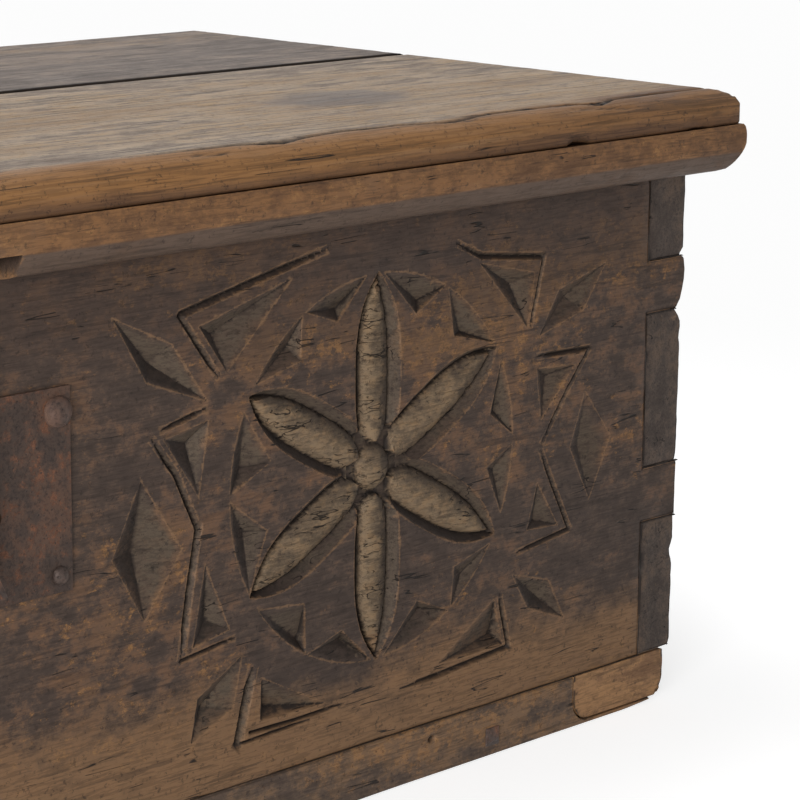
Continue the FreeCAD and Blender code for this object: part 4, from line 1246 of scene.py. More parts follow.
INNER_CHIPS = tuple(rim_chip(*cut) for cut in (
    (1, 25.5, (102, 18.7), (110, 19), 6),
    (32, 60, (67, 75.5), (78, 76)),
    (61.5, 88, (32.8, 94), (39, 101)),
    (95, 120, (-35.4, 98), (-32, 105)),
    (121.5, 146.5, (-66, 78), (-73, 87)),
    (154.5, 178, (-90.5, 19.8), (-111, 18)),
    (180, 209, (-93.8, -22.5), (-108.5, -22)),
    (215, 240, (-63, -75), (-64, -99)),
    (241, 267.5, (-31, -99), (-27, -106)),
    (272.5, 301.5, (36, -93.5), (43, -101)),
    (303, 326.5, (70, -77.5), (81, -85), 5),
    (336.5, 358, (99, -16.7), (110, -20), 5),
))
OUTER_CHIPS = tuple(Chip(*cut) for cut in (
    (((-147.3, 110.1), (-125.7, 79.6), (-72.6, 130)), (-132.4, 103), 7.5),
    (((-212.4, 123.8), (-187.3, 82.4), (-141, 64.7), (-168, 102.6)), (-180.5, 92.4), 8),
    (((-140, 53.4), (-175.2, 46.9), (-148.5, 7.9)), (-153.1, 40.3), 7),
    (((-192.7, 25.8), (-214.9, -18.2), (-191, -60), (-161.8, -21.5)), (-193, -17.7), 10),
    (((-143.7, -34), (-154, -84), (-124.6, -78.5)), (-139.5, -70.6), 7),
    (((-114.5, -96.7), (-150.5, -116), (-156.4, -144.4), (-121.7, -129.1)), (-143.1, -124.4), 7),
    (((-99, -114.6), (-100, -142.8), (-44.8, -143.4)), (-92, -136), 7.5),
    (((108.7, -107.2), (55, -140.6), (117.9, -140.8)), (112, -133), 7.5),
    (((126, -94.3), (141.7, -120.7), (178.6, -135.1), (162.2, -104.9)), (154, -114.5), 6.5),
    (((149.4, -35.6), (139.4, -66.2), (170, -68)), (150, -61.8), 5.5),
    (((195, 20), (180.7, -16.5), (201.5, -56), (222, -15)), (192, -17.5), 4),
    (((146.2, 42.4), (151.3, 7.1), (184.5, 39.6)), (159.7, 35), 6),
    (((213.4, 105.3), (166.6, 92.7), (147.8, 63.6), (191.2, 75.7)), (178, 86), 6.5),
    (((90.1, 119.4), (136.5, 70.8), (142.9, 107)), (125, 101), 7),
))
GROOVES = (
    Groove(((-162, 119), (-100, 132.5), (-43.8, 144)), 5.5, 3.8, blunt_start=True),
    Groove(((-162, 119), (-131.9, 77.5)), 5, 3.5, blunt_start=True),
    Groove(((-177.9, 52.5), (-141.3, 60.6)), 4, 2.8),
    Groove(((-184.5, 49.4), (-166, 25), (-150, -9.2)), 5.5, 4, blunt_end=True),
    Groove(((-148.5, -10), (-156.5, -50), (-163.1, -90)), 6.5, 4.5, blunt_start=True),
    Groove(((-163.5, -90), (-120, -84.4)), 3.5, 2.4, blunt_start=True),
    Groove(((-105.3, -106.3), (-112, -130), (-117.8, -152.1)), 8.5, 5, blunt_end=True),
    Groove(((-107.3, -148), (-70, -148.5), (-29, -147.5)), 3.5, 3, blunt_start=True),
    Groove(((-115, -153), (-57.3, -151)), 3, 2.4, blunt_start=True),
    Groove(((114, -105.6), (123.8, -143.4)), 5, 3.4, blunt_end=True),
    Groove(((123.8, -143.2), (60, -147.8), (20.9, -149.4)), 5, 3.4, blunt_start=True),
    Groove(((151.8, -13.8), (182, -73)), 4.5, 2.6, blunt_end=True),
    Groove(((182, -73), (129.4, -79.8)), 4, 2.6, blunt_start=True),
    Groove(((145.9, 50.4), (199, 49)), 4.5, 3.2, blunt_end=True),
    Groove(((199, 49), (176.4, 22.5), (151.8, -10)), 4, 2.4, blunt_start=True),
    Groove(((68.6, 134.6), (92.2, 123.8), (151.6, 116.6)), 5, 3.4, blunt_end=True),
    Groove(((151.6, 116.6), (139.4, 70.6)), 4, 2.6, blunt_start=True),
)


@dataclass
class CarvedPattern:
    """All the carving of the front, the same on both sides of the lock."""

    middle: Pair = (317.5 * MM, WALL_Z + 179.25 * MM)
    rosette: Rosette = field(default_factory=Rosette)
    chips: tuple[Chip, ...] = INNER_CHIPS + OUTER_CHIPS
    grooves: tuple[Groove, ...] = GROOVES

    def _on_front(self, lines: Iterable[np.ndarray]) -> np.ndarray:
        """All the lines in metres, on the right half of the front."""
        return np.vstack([*lines, self.rosette.lines()]) * MM + np.array([*self.middle, *self.middle])

    def lines(self) -> np.ndarray:
        """Every line that the mesh has to follow."""
        return self._on_front(cut.lines() for cut in (*self.chips, *self.grooves))

    def arrises(self) -> np.ndarray:
        """Lines where a cut meets the surface."""
        outlines = [chip.outline() for chip in self.chips]
        return self._on_front([*outlines, *(groove.lines() for groove in self.grooves)])

    def sink(self, plan: np.ndarray) -> tuple[np.ndarray, np.ndarray]:
        """Depth in millimetres and the petals' share, at places on the front in metres.

        Args:
            plan: places in metres, to the right and up.

        Returns:
            The depths and the shares, from 0 to 1.
        """
        local = (np.c_[np.abs(plan[:, 0]), plan[:, 1]] - np.array(self.middle)) / MM
        depth, petal = self.rosette.sink(local)
        for cut in (*self.chips, *self.grooves):
            depth = np.maximum(depth, cut.sink(local))
        return depth, petal


# ---- Carcass ---------------------------------------------------------------------------------
# Flaws of the right-hand upright arris: height, depth (a lip is negative) and half length in millimetres
ARRIS_FLAWS = ((107, 3.5, 6), (260, 1.5, 3), (280, 6, 6), (306, -2.5, 9), (318, 3, 2))
ARRIS_SWELL = (0.3, 4.3)    # how far it stands out at its foot and at the rim
ARRIS_REACH = (18 * MM, 70 * MM)    # how far in from the end and from the front the wear goes
FLARE_FADE = 15 * MM


def in_pins(height: float) -> bool:
    """Whether a height lies in one of the two pins."""
    return any(low < height < high for low, high in (LOW_PIN, HIGH_PIN))


def dovetail_shift(heights: np.ndarray, share: np.ndarray) -> np.ndarray:
    """How far a joint's cheeks have spread.

    Args:
        heights: heights before the joint is cut.
        share: 0 at the board's outer face, 1 at its inner face.

    Returns:
        The change of height, largest at the cheeks and fading away from them.
    """
    shift = np.zeros(len(heights))
    for low, high in (LOW_PIN, HIGH_PIN):
        for level, sign in ((low, -1), (high, 1)):
            near = np.clip(1 - np.abs(heights - level) / FLARE_FADE, 0, 1)
            shift += sign * PIN_FLARE * share * near
    return shift


def ragged(places: np.ndarray) -> np.ndarray:
    """The places with both front uprights drawn in and out by wear.

    Args:
        places: places in metres, one row each.

    Returns:
        The moved places.
    """
    foot, rim = WALL_Z / MM, RIM_Z / MM
    height = places[:, 2] / MM
    height = np.where(places[:, 0] > 0, height, foot + rim - height)
    change = np.interp(height, (foot, rim), ARRIS_SWELL) + 0.6 * fractal(places, (9, 9, 5), 2, 71)
    for level, depth, half in ARRIS_FLAWS:
        change -= depth * np.exp(-((height - level) / half) ** 2)
    inwards, backwards = ARRIS_REACH
    near_end = np.clip((np.abs(places[:, 0]) - HALF_LENGTH + inwards) / inwards, 0, 1)
    near_front = np.clip(1 - (places[:, 1] - FRONT_Y) / backwards, 0, 1)
    moved = places.copy()
    moved[:, 0] += np.sign(places[:, 0]) * change * MM * near_end * near_front
    return moved


def corner_seams(face_y: float) -> Field:
    """Distance from the lines of all the corner joints on the front or the back.

    Args:
        face_y: where the front or the back lies.

    Returns:
        A function of places.
    """
    stops = (WALL_Z, *LOW_PIN, *HIGH_PIN, RIM_Z)
    found = []
    for side in (1, -1):
        for low, high in zip(stops[::2], stops[1::2]):
            corners = [(side * x, face_y, z) for x, z in (
                (HALF_LENGTH, low), (SIDE_INNER_X, low), (SIDE_INNER_X, high), (HALF_LENGTH, high))]
            found.append(polyline(corners))
    found.append(polyline([(-HALF_LENGTH, face_y, WALL_Z), (HALF_LENGTH, face_y, WALL_Z)]))
    return near_lines(np.vstack(found))


@dataclass
class Carcass:
    """The four walls, joined by dovetails at the corners."""

    pattern: CarvedPattern = field(default_factory=CarvedPattern)
    cell: float = 8 * MM
    corner: float = 1.8 * MM
    edge: float = 1.2 * MM
    rim: float = 2 * MM
    mortise_play: float = 1 * MM
    housing: float = 17.5 * MM
    housing_drop: float = 3.5 * MM
    inner_fade: float = 20 * MM
    seam: Pair = (1.3, 1.6)
    levels: tuple[float, ...] = tuple(around_levels((*LOW_PIN, *HIGH_PIN)))
    stages: tuple[Pair, ...] = ((5, 4), (2.4, 2.2), (0.8, 1.3))
    snapping: float = 0.45 * MM
    arris: float = 0.8 * MM
    knife_play: float = 0.4

    def _long_board(self, start: float, end: float, us: Sequence[float] = (), vs: Sequence[float] = (),
                    gone: Callable[[float, float], bool] | None = None) -> Workpiece:
        """A front or back board with its pins, from its outer face inwards.

        Args:
            start: the outer face.
            end: the inner face.
            us: further upright rows.
            vs: further level rows.
            gone: tells where there is another opening.

        Returns:
            The board.
        """
        columns = rows(-HALF_LENGTH, HALF_LENGTH, self.cell, self.corner,
                       (*around_levels((-SIDE_INNER_X, SIDE_INNER_X)), *us))
        heights = rows(WALL_Z, RIM_Z, self.cell, self.rim, (*self.levels, *vs))
        layers = rows(0, abs(end - start), 9 * MM, self.corner)
        way = 1 if end > start else -1
        piece = Workpiece().slab(
            Plane.FRONT, columns, heights, start + way * layers,
            lambda u, v: (abs(u) > SIDE_INNER_X and not in_pins(v)) or bool(gone and gone(u, v)))
        places = piece.places
        share = np.abs(places[:, 1] - start) / abs(end - start)
        at_end = np.abs(places[:, 0]) > SIDE_INNER_X - NEAR
        places[:, 2] += np.where(at_end, dovetail_shift(places[:, 2], share), 0)
        piece.places = places
        return piece

    def _inner(self, places: np.ndarray, face: float) -> np.ndarray:
        """How surely each place is out of the light, behind a long board's outer face."""
        return np.clip(np.abs(places[:, 1] - face) / self.inner_fade - 0.4, 0, 1)

    def _carve(self, piece: Workpiece) -> None:
        """Carves the front and marks its cuts for the finish.

        Args:
            piece: the front board, refined along the carving.
        """
        places = piece.places
        face = np.abs(places[:, 1] - FRONT_Y) < ON_FACE
        flat = places[face] * (1, 0, 1)
        plan = flat[:, [0, 2]]
        depth, petal = self.pattern.sink(plan)
        depth += np.where(depth > self.knife_play, fractal(flat, (9, 1, 5), 3, 5) * self.knife_play, 0)
        worn = 0.3 * (1 + fractal(flat, (160, 1, 45), 3, 11))
        depth += worn + 0.25 * np.abs(fractal(flat, (40, 1, 6), 2, 12))
        depth += np.where(petal > 0, 0.35 * fractal(flat, (14, 1, 3), 2, 13), 0)
        places[face, 1] += np.maximum(depth, 0) * MM
        piece.places = places
        gap = nearest_on_lines(np.c_[np.abs(plan[:, 0]), plan[:, 1]], self.pattern.arrises())[0]
        facing = piece.normals[face]
        # tone is painted light and shade by the way each facet faces: lighter facing left and down, darker
        # facing right and up.
        for name, part in (("hollow", np.clip((depth - 0.5) / 1.4, 0, 1)), ("petal", petal),
                           ("arris", np.exp(-(gap / self.arris) ** 2) * np.clip(1.5 - depth / 1.2, 0, 1)),
                           ("tone", np.clip(0.5 - 0.62 * facing[:, 0] - 0.34 * facing[:, 2], 0, 1))):
            values = np.zeros(len(places))
            values[face] = part
            piece.mark(name, values)
        piece.mark("inner", self._inner(places, FRONT_Y))

    def front_board(self, finish: bpy.types.Material) -> None:
        """The carved front, with the lock's mortise cut through it.

        Args:
            finish: the board's finish.
        """
        play = Vector((1, 1, 1)) * self.mortise_play
        low, high = CASE_LOW - play, CASE_HIGH + play
        piece = self._long_board(FRONT_Y, FRONT_INNER_Y, (low.x, high.x), (low.z, high.z),
                                 lambda u, v: low.x < u < high.x and low.z < v < high.z)
        lines = self.pattern.lines()
        piece.refine(drawn_on(Plane.FRONT, FRONT_Y, lines, fold=True), self.stages)
        piece.snap(Plane.FRONT, FRONT_Y, lines, self.snapping)
        self._carve(piece)
        box = (-HALF_LENGTH, FRONT_Y, WALL_Z), (HALF_LENGTH, FRONT_INNER_Y, RIM_Z)
        piece.round_over(*box, self.corner, "xXy").round_over(*box, self.edge, "yzZ")
        piece.split(corner_seams(FRONT_Y), *self.seam, 21)
        piece.places = ragged(piece.places)
        piece.finish("front_board_carved", "chest", finish, ["front_board"], "front_oak", 32)

    def back_board(self, finish: bpy.types.Material) -> None:
        """The plain back, let down under the hinge straps.

        Args:
            finish: the board's finish.
        """
        strap_x = (STRAP_LOW.x + STRAP_HIGH.x) / 2
        sides = [sign * (strap_x + way * self.housing) for sign in (-1, 1) for way in (-1, 1)]
        piece = self._long_board(BACK_Y, BACK_INNER_Y, [x + step for x in sides for step in (0, 0.2 * MM)])
        box = (-HALF_LENGTH, BACK_INNER_Y, WALL_Z), (HALF_LENGTH, BACK_Y, RIM_Z)
        piece.mark("inner", self._inner(piece.places, BACK_Y))
        piece.round_over(*box, self.corner, "xXY").round_over(*box, self.edge, "YzZ")
        piece.wear(uneven(0.35, (150, 40, 30), 21))
        piece.split(corner_seams(BACK_Y), *self.seam, 22)
        places = piece.places
        housed = np.abs(np.abs(places[:, 0]) - strap_x) < self.housing + 0.1 * MM
        places[housed, 2] = np.minimum(places[housed, 2], LID_Z - self.housing_drop)
        piece.places = places
        piece.merge().finish("back_board_worn", "chest", finish, ["back_board"], "carcass_oak")

    def side_board(self, side: int, finish: bpy.types.Material) -> None:
        """A side board, whose rough end grain shows between the pins.

        Args:
            side: 1 on the right, -1 on the left.
            finish: the board's finish.
        """
        outer, inner = side * HALF_LENGTH, side * SIDE_INNER_X
        us = rows(FRONT_Y, BACK_Y, self.cell, self.corner, (FRONT_INNER_Y, BACK_INNER_Y))
        vs = rows(WALL_Z, RIM_Z, 4 * MM, self.rim, self.levels)
        layers = rows(0, HALF_LENGTH - SIDE_INNER_X, 4 * MM, self.corner)
        piece = Workpiece().slab(Plane.SIDE, us, vs, outer - side * layers,
                                 lambda u, v: (u < FRONT_INNER_Y or u > BACK_INNER_Y) and in_pins(v))
        places = piece.places
        from_front = (places[:, 1] - FRONT_Y) / WALL
        share = np.minimum(from_front, (BACK_Y - places[:, 1]) / WALL)
        places[:, 2] += np.where(share < 1 + NEAR, dovetail_shift(places[:, 2], share), 0)
        piece.places = places
        box = ((min(outer, inner), FRONT_Y, WALL_Z), (max(outer, inner), BACK_Y, RIM_Z))
        piece.round_over(*box, self.corner, "yYX" if side > 0 else "yYx").round_over(*box, self.edge)
        piece.split(corner_seams(FRONT_Y), 1.9, 2.4, 23).split(corner_seams(BACK_Y), 1.9, 2.2, 24)
        places = piece.places
        rough = np.maximum(0.5 + 0.6 * fractal(places, (9, 40, 12), 3, 32), 0)
        end_grain = np.clip(1 - from_front / 0.12, 0, 1)
        facing = np.abs(piece.normals[:, 1]) > 0.6
        places[:, 1] += np.where(facing, end_grain * rough * MM, 0)
        piece.places = places
        piece.wear(uneven(0.35, (12, 90, 14), 31))
        piece.mark("inner", (np.abs(places[:, 0]) < SIDE_INNER_X + 1 * MM).astype(float))
        piece.places = ragged(piece.places)
        name = "right_side_board" if side > 0 else "left_side_board"
        piece.finish(name + "_worn", "chest", finish, [name], "carcass_oak")


# ---- Bottom ----------------------------------------------------------------------------------
@dataclass
class Bottom:
    """The two bottom boards and the patch let into the front edge."""

    cell: float = 8 * MM
    edge: float = 1.8 * MM
    edge_band: float = 3 * MM
    end_radius: float = 22 * MM
    nailed_radius: float = 11 * MM
    foremost: Pair = (19 * MM, 8 * MM)  # the larger radius reaches this far back, and fades over this
    patch_radius: float = 16 * MM
    patch_gap: float = 0.9 * MM
    patch_edge: float = 1.2 * MM
    patch_cell: float = 3 * MM
    patch_band: float = 1.5 * MM
    cut_play: float = 0.12 * MM
    thinning: float = 45 * MM
    thinned: float = 0.9
    steps: tuple[float, ...] = (0, 0.3, *range(1, 18))
    flaw: Triple = (368.6, -246, 25)

    def _board(self, name: str, us: Sequence[float] = (), levels: Sequence[float] = ()) -> Workpiece:
        """A bottom board before wear, with further rows along it and through its thickness.

        Args:
            name: the board's node.
            us: further rows along it.
            levels: further rows through its thickness.

        Returns:
            The board.
        """
        low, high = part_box(name)
        return Workpiece().slab(
            Plane.TOP, rows(low.x, high.x, self.cell, self.end_radius, us),
            rows(low.y, high.y, self.cell, self.edge_band),
            rows(low.z, high.z, 4 * MM, self.edge_band, levels))

    def _wear(self, piece: Workpiece, name: str, seed: int) -> Workpiece:
        """Rounds a board's lower ends and its edges.

        Args:
            piece: the board.
            name: its node.
            seed: picks its wear.

        Returns:
            The same piece.
        """
        low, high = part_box(name)
        sawn = piece.places
        back, fade = self.foremost
        foremost = np.clip((FRONT_Y + back - sawn[:, 1]) / fade, 0, 1)[:, None]
        worn = piece.round_over(low, high, self.end_radius, "xXz").places
        piece.places = sawn
        piece.round_over(low, high, self.nailed_radius, "xXz")
        piece.places = piece.places + (worn - piece.places) * foremost
        piece.round_over(low, high, self.edge)
        places = np.abs(piece.places)
        within = (places < (SIDE_INNER_X, BACK_INNER_Y, math.inf)).all(1) & (places[:, 2] > high.z - 1 * MM)
        piece.mark("inner", within.astype(float))
        piece.split(corner_seams(FRONT_Y if low.y < 0 else BACK_Y), 1.6, 1.6, seed)
        return piece.wear(uneven(0.35, (120, 30, 12), seed))

    def _corner(self) -> tuple[float, float]:
        """Where the patch's place starts along the board, and its floor."""
        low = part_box("bottom_patch")[0]
        return low.x - self.patch_gap, low.z - self.patch_gap

    def _outline(self) -> np.ndarray:
        """The outline of the patch's place: down its left end, round its lower corner and along its floor.

        Returns:
            Plan lines in metres, one row each.
        """
        start, floor = self._corner()
        radius = self.patch_radius
        arc = [(start + radius * (1 + math.cos(turn)), floor + radius * (1 + math.sin(turn)))
               for turn in np.linspace(math.pi, 1.5 * math.pi, 9)]
        return polyline([(start, RIM_Z), *arc, (HALF_LENGTH, floor)])

    def _let_in(self, piece: Workpiece) -> None:
        """Sinks the place of the patch into the board's front edge.

        Args:
            piece: the front board.
        """
        start, floor = self._corner()
        places = piece.places
        across, up = places[:, 0] - start, places[:, 2] - floor
        reach = np.hypot(np.minimum(across - self.patch_radius, 0), np.minimum(up - self.patch_radius, 0))
        inside = (across > self.cut_play) & (up > self.cut_play) & (reach < self.patch_radius - self.cut_play)
        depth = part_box("bottom_patch")[1].y + self.patch_gap
        places[:, 1] = np.where(inside, np.maximum(places[:, 1], depth), places[:, 1])
        below = (up <= self.cut_play) & (places[:, 1] < depth + 2 * MM)
        thin = np.clip((places[:, 0] - HALF_LENGTH + self.thinning) / self.thinning, 0, 1) * self.thinned
        places[:, 2] = np.where(below, places[:, 2] - np.minimum(up, 0) * thin, places[:, 2])
        piece.places = places
        piece.merge()

    def boards(self, finish: bpy.types.Material) -> None:
        """Both boards.

        Args:
            finish: the boards' finish.
        """
        start, floor = self._corner()
        front = self._board("front_bottom_board", *([level + step * MM for step in self.steps]
                                                    for level in (start, floor)))
        point = Vector(self.flaw)
        hole = along_path([point, point + Vector((1.5, 0, 0.4))])
        front.refine(hole, ((8, 3), (5, 1.4))).snap(Plane.FRONT, FRONT_Y, self._outline(), 0.6 * MM)
        self._wear(front, "front_bottom_board", 41).split(hole, 2.2, 7, 5)
        self._let_in(front)
        rear = self._wear(self._board("rear_bottom_board"), "rear_bottom_board", 42)
        for name, piece in (("front_bottom_board", front), ("rear_bottom_board", rear)):
            piece.finish(name + "_worn", "chest", finish, [name], "bottom_oak")

    def patch(self, finish: bpy.types.Material) -> None:
        """The patch, its right end flush with the board's.

        Args:
            finish: the patch's finish.
        """
        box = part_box("bottom_patch")
        low, high = box
        piece = Workpiece().slab(
            Plane.TOP, rows(low.x, high.x, self.patch_cell),
            rows(low.y, high.y, self.patch_cell, self.patch_band),
            rows(low.z, high.z, 2 * MM, self.patch_band))
        piece.round_over(*box, self.patch_radius, "xz")
        piece.round_over(*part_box("front_bottom_board"), self.end_radius, "Xz")
        piece.round_over(*box, self.patch_edge, "xyXZ").wear(uneven(0.4, (40, 20, 9), 43))
        piece.finish("bottom_patch_worn", "chest", finish, ["bottom_patch"], "patch_oak")


# ---- Lid -------------------------------------------------------------------------------------
# Where the worn edge of the lid's flat bites forwards: place along it, depth and half length in millimetres
NOSE_BREAKS = ((-480, 3, 30), (224, 6.5, 20), (281, -3.5, 16), (365, 7, 28), (504, 8.5, 14))
# How far the crack behind it gapes: places along it in millimetres, and shares
NOSE_GAPES = ((-640, -300, -120, 100, 190), (0.8, 0.8, 0, 0, 1))
# Dents in the nose and in the moulding: place, radius and depth in millimetres
NOSE_DENTS = (((200, -270, 431), 9, 2), ((471, -272.5, 408), 10, 3.5), ((-340, -272, 430), 12, 3),
              ((590, -272.5, 412), 14, 1.2), ((-150, -272, 410), 11, 2))
MOULDING_DENTS = (((330, -275, 392), 7, 1.6), ((520, -270, 382), 6, 1.5), ((-200, -275, 390), 8, 1.8))
NOSE_SPLITS = (((469, -262, 429.5), (497, -265, 429), (526, -268, 427.5)),
               ((596, -273.5, 418), (613, -272.5, 416.5), (626, -268, 416.5)),
               ((150, -262, 429.5), (178, -264, 429)), ((-420, -263, 429), (-372, -266, 428)))


@dataclass
class Lid:
    """The lid's two boards, its mouldings and its battens."""

    nose: Triple = (18 * MM, 18 * MM, 14 * MM)
    flat_edge: float = 4 * MM
    corner: float = 2.5 * MM
    front_edge: float = 3 * MM
    front_rear_edge: Triple = (1 * MM, 14 * MM, 5 * MM)
    rear_edges: Pair = (1.2 * MM, 1.8 * MM)
    thickness: float = 25 * MM
    end_reach: float = 2 * MM
    end_fade: float = 16 * MM
    rear_fade: float = 9 * MM
    nose_line: float = -251.0
    wander: float = 1.8
    border: Pair = (2, 11)      # width in mm of the nose colour's border, by a gaping and by a shut crack
    gilding: Pair = (0.5, 22 * MM)
    crack: Pair = (2, 3.4)      # width and depth in mm
    stages: tuple[Pair, ...] = ((5, 3), (2.5, 1.6), (1.2, 0.9))
    stain: tuple[Pair, Pair] = ((395 * MM, -130 * MM), (52 * MM, 36 * MM))
    notch_half: float = 20 * MM
    notch_drop: float = 17 * MM
    mitre_lap: float = 0.2 * MM
    moulding_reach: float = 30.2
    moulding_top: float = 0.2
    upper_round: Pair = (4.5, 7.0)
    lip: float = 2.8
    belly: tuple[Pair, Pair, Pair] = ((30.1, 12), (28.4, 22.5), (20.3, 30))
    foot: tuple[Pair, Pair] = ((15.5, 31.7), (1, 34.8))
    batten_edge: float = 5 * MM

    def _board(self, name: str) -> tuple[Workpiece, Triple, Triple]:
        """A flat lid board before its nose is worn, with the corners of its box.

        Args:
            name: the board's node.

        Returns:
            The board and the lowest and highest corner of its box.
        """
        low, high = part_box(name)
        low.x, high.x = low.x - self.end_reach, high.x + self.end_reach
        us, vs = rows(low.x, high.x, 8 * MM, self.nose[0]), rows(low.y, high.y, 4 * MM, self.nose[1])
        top = LID_Z + self.thickness
        piece = Workpiece().slab(Plane.TOP, us, vs, rows(LID_Z, top, 3 * MM, self.flat_edge))
        return piece, (low.x, low.y, LID_Z), (high.x, high.y, top)

    def _nose(self, piece: Workpiece, low: Triple, high: Triple, edge: str) -> Workpiece:
        """Rounds the long edge and both ends, and the upright corners between them.

        Args:
            piece: the board.
            low: lowest corner of its box.
            high: highest corner of its box.
            edge: the faces that meet at the long edge.

        Returns:
            The same piece.
        """
        radii = self.nose if edge == "yZ" else (self.nose[0], self.flat_edge, self.flat_edge)
        piece.round_over(low, high, radii, edge).round_over(low, high, self.nose, "xXZ")
        return piece.round_over(low, high, self.corner, "xX" + edge[0])

    def _top_wear(self, piece: Workpiece, seed: int) -> Workpiece:
        """Grain that stands out and hollows of long use."""
        return piece.wear(lambda at: 0.35 * (1 + fractal(at, (260, 90, 60), 2, seed))
                          + 0.4 * np.abs(fractal(at, (90, 7, 30), 3, seed + 1)))

    def _at_end(self, places: np.ndarray, high: Triple) -> np.ndarray:
        """1 at the ends of a board, fading to 0 inwards."""
        return np.clip(1 - (high[0] - np.abs(places[:, 0])) / self.end_fade, 0, 1)

    def _broken_line(self) -> np.ndarray:
        """Where the flat breaks away into the nose, from the left end to the right, in metres.

        Returns:
            Plan lines in metres, one row each.
        """
        along = np.linspace(-640, 640, 161)
        straight = np.c_[along, along * 0, along * 0] * MM
        across = self.nose_line + self.wander * fractal(straight, (70, 70, 70), 3, 58)
        for place, depth, half in NOSE_BREAKS:
            across -= depth * np.exp(-((along - place) / half) ** 2)
        return polyline(np.c_[along, across].tolist()) * MM

    def front_board(self, finish: bpy.types.Material) -> None:
        """The board that carries the mouldings, its flat broken raggedly along the nose.

        Args:
            finish: the board's finish.
        """
        piece, low, high = self._board("lid_front_board")
        line = self._broken_line()
        piece.refine(drawn_on(Plane.TOP, high[2], line), self.stages)
        places = piece.places
        x, y, z = places.T
        edge = np.interp(x, line[:, 0], line[:, 1])
        gapes = np.interp(x / MM, *NOSE_GAPES)
        sharp, soft = self.border
        nosed = np.clip(0.5 + (edge - y) / ((sharp + (soft - sharp) * (1 - gapes)) * MM), 0, 1)
        behind = np.minimum(np.abs(y - edge), np.abs(high[1] - y))
        gilding, gilded = self.gilding
        nosed = np.maximum.reduce([nosed, self._at_end(places, high), gilding * np.exp(-behind / gilded)])
        width, depth = self.crack
        gap = nearest_on_lines(places[:, :2], line)[0]
        crack = np.where(z > high[2] - ON_FACE, np.exp(-(gap / (width * MM)) ** 2), 0)
        vary = np.clip(0.75 + 0.7 * fractal(places, (30, 30, 30), 2, 52), 0.1, 1.6) * gapes
        (stain_x, stain_y), (long, wide) = self.stain
        underneath = (z < LID_Z + 0.1 * MM) & (y > FRONT_Y - 20 * MM)
        piece.mark("nose", nosed).mark("inner", underneath.astype(float))
        # Painted shade in the crack behind the nose.
        piece.mark("crevice_shade", np.clip(crack * vary * 1.3, 0, 1))
        piece.mark("stain", np.exp(-((x - stain_x) / long) ** 2 - ((y - stain_y) / wide) ** 2))
        self._nose(piece, low, high, "yZ").round_over(low, high, self.front_edge, "xXyz")
        piece.round_over(low, high, self.front_rear_edge, "YZ").sink(crack * vary * depth * MM)
        self._top_wear(piece, 53).bite(NOSE_DENTS)
        for points in NOSE_SPLITS:
            piece.split(along_path(points), 1.2, 2, 9)
        piece.finish("lid_front_board_worn", "lid", finish, ["lid_front_board"], "lid_oak", 40)

    def rear_board(self, finish: bpy.types.Material) -> None:
        """The board over the hinges.

        Args:
            finish: the board's finish.
        """
        piece, low, high = self._board("lid_rear_board")
        places = piece.places
        at_back = np.clip(1 - (high[1] - places[:, 1]) / self.rear_fade, 0, 1)
        piece.mark("nose", np.maximum(self._at_end(places, high), at_back))
        piece.mark("inner", (places[:, 2] < LID_Z + 0.1 * MM).astype(float))
        # Painted shade along the edge at the gap between the lid boards.
        piece.mark("crevice_shade", (places[:, 1] < low[1] + 1.3 * MM).astype(float))
        upper, lower = self.rear_edges
        self._nose(piece, low, high, "YZ")
        piece.round_over(low, high, upper, "yZ").round_over(low, high, lower, "xXYz")
        self._top_wear(piece, 63)
        piece.finish("lid_rear_board_worn", "lid", finish, ["lid_rear_board"], "lid_oak", 40)

    def _section(self) -> np.ndarray:
        """The moulding's closed section: out from the carcass and down from the lid, in metres.

        Returns:
            Reach out and drop of each point.
        """
        turns = np.radians(np.linspace(0, 90, 6))
        out, down = self.upper_round
        drop = self.moulding_top + down * (1 - np.cos(turns)) - self.lip * np.sin(2 * turns)
        upper = np.c_[self.moulding_reach - out * (1 - np.sin(turns)), drop]
        share = np.linspace(0, 1, 7)[:, None]
        start, pull, end = np.array(self.belly)
        belly = (1 - share) ** 2 * start + 2 * share * (1 - share) * pull + share ** 2 * end
        corner = (self.foot[1][0], self.moulding_top)
        return np.vstack([corner, upper, belly, self.foot, corner]) * MM

    def _moulding(self, stations: np.ndarray,
                  place: Callable[[np.ndarray, np.ndarray, np.ndarray], np.ndarray]) -> Workpiece:
        """A length of moulding.

        Args:
            stations: rows along the length, in metres.
            place: turns stations, reach out and drop into places.

        Returns:
            The moulding, closed at both ends.
        """
        outline = self._section()
        run = np.r_[0, np.cumsum(np.linalg.norm(np.diff(outline, axis=0), axis=1))]
        steps = rows(0, run[-1], 2 * MM, keep=run)
        out, drop = (np.interp(steps, run, side) for side in outline.T)
        piece = Workpiece()
        bmesh.ops.create_grid(piece.bm, x_segments=len(stations) - 1, y_segments=len(steps) - 1, size=0.5)
        column, row = (np.round((piece.places[:, axis] + 0.5) * (len(marks) - 1)).astype(int)
                       for axis, marks in ((0, stations), (1, steps)))
        piece.places = place(stations[column], out[row], drop[row])
        open_edges = [edge for edge in piece.merge().bm.edges if edge.is_boundary]
        bmesh.ops.holes_fill(piece.bm, edges=open_edges, sides=0)
        return piece.face_outwards()

    def front_moulding(self, finish: bpy.types.Material) -> None:
        """The front moulding, mitred at both ends and notched over the lock.

        Args:
            finish: the moulding's finish.
        """
        half = self.notch_half

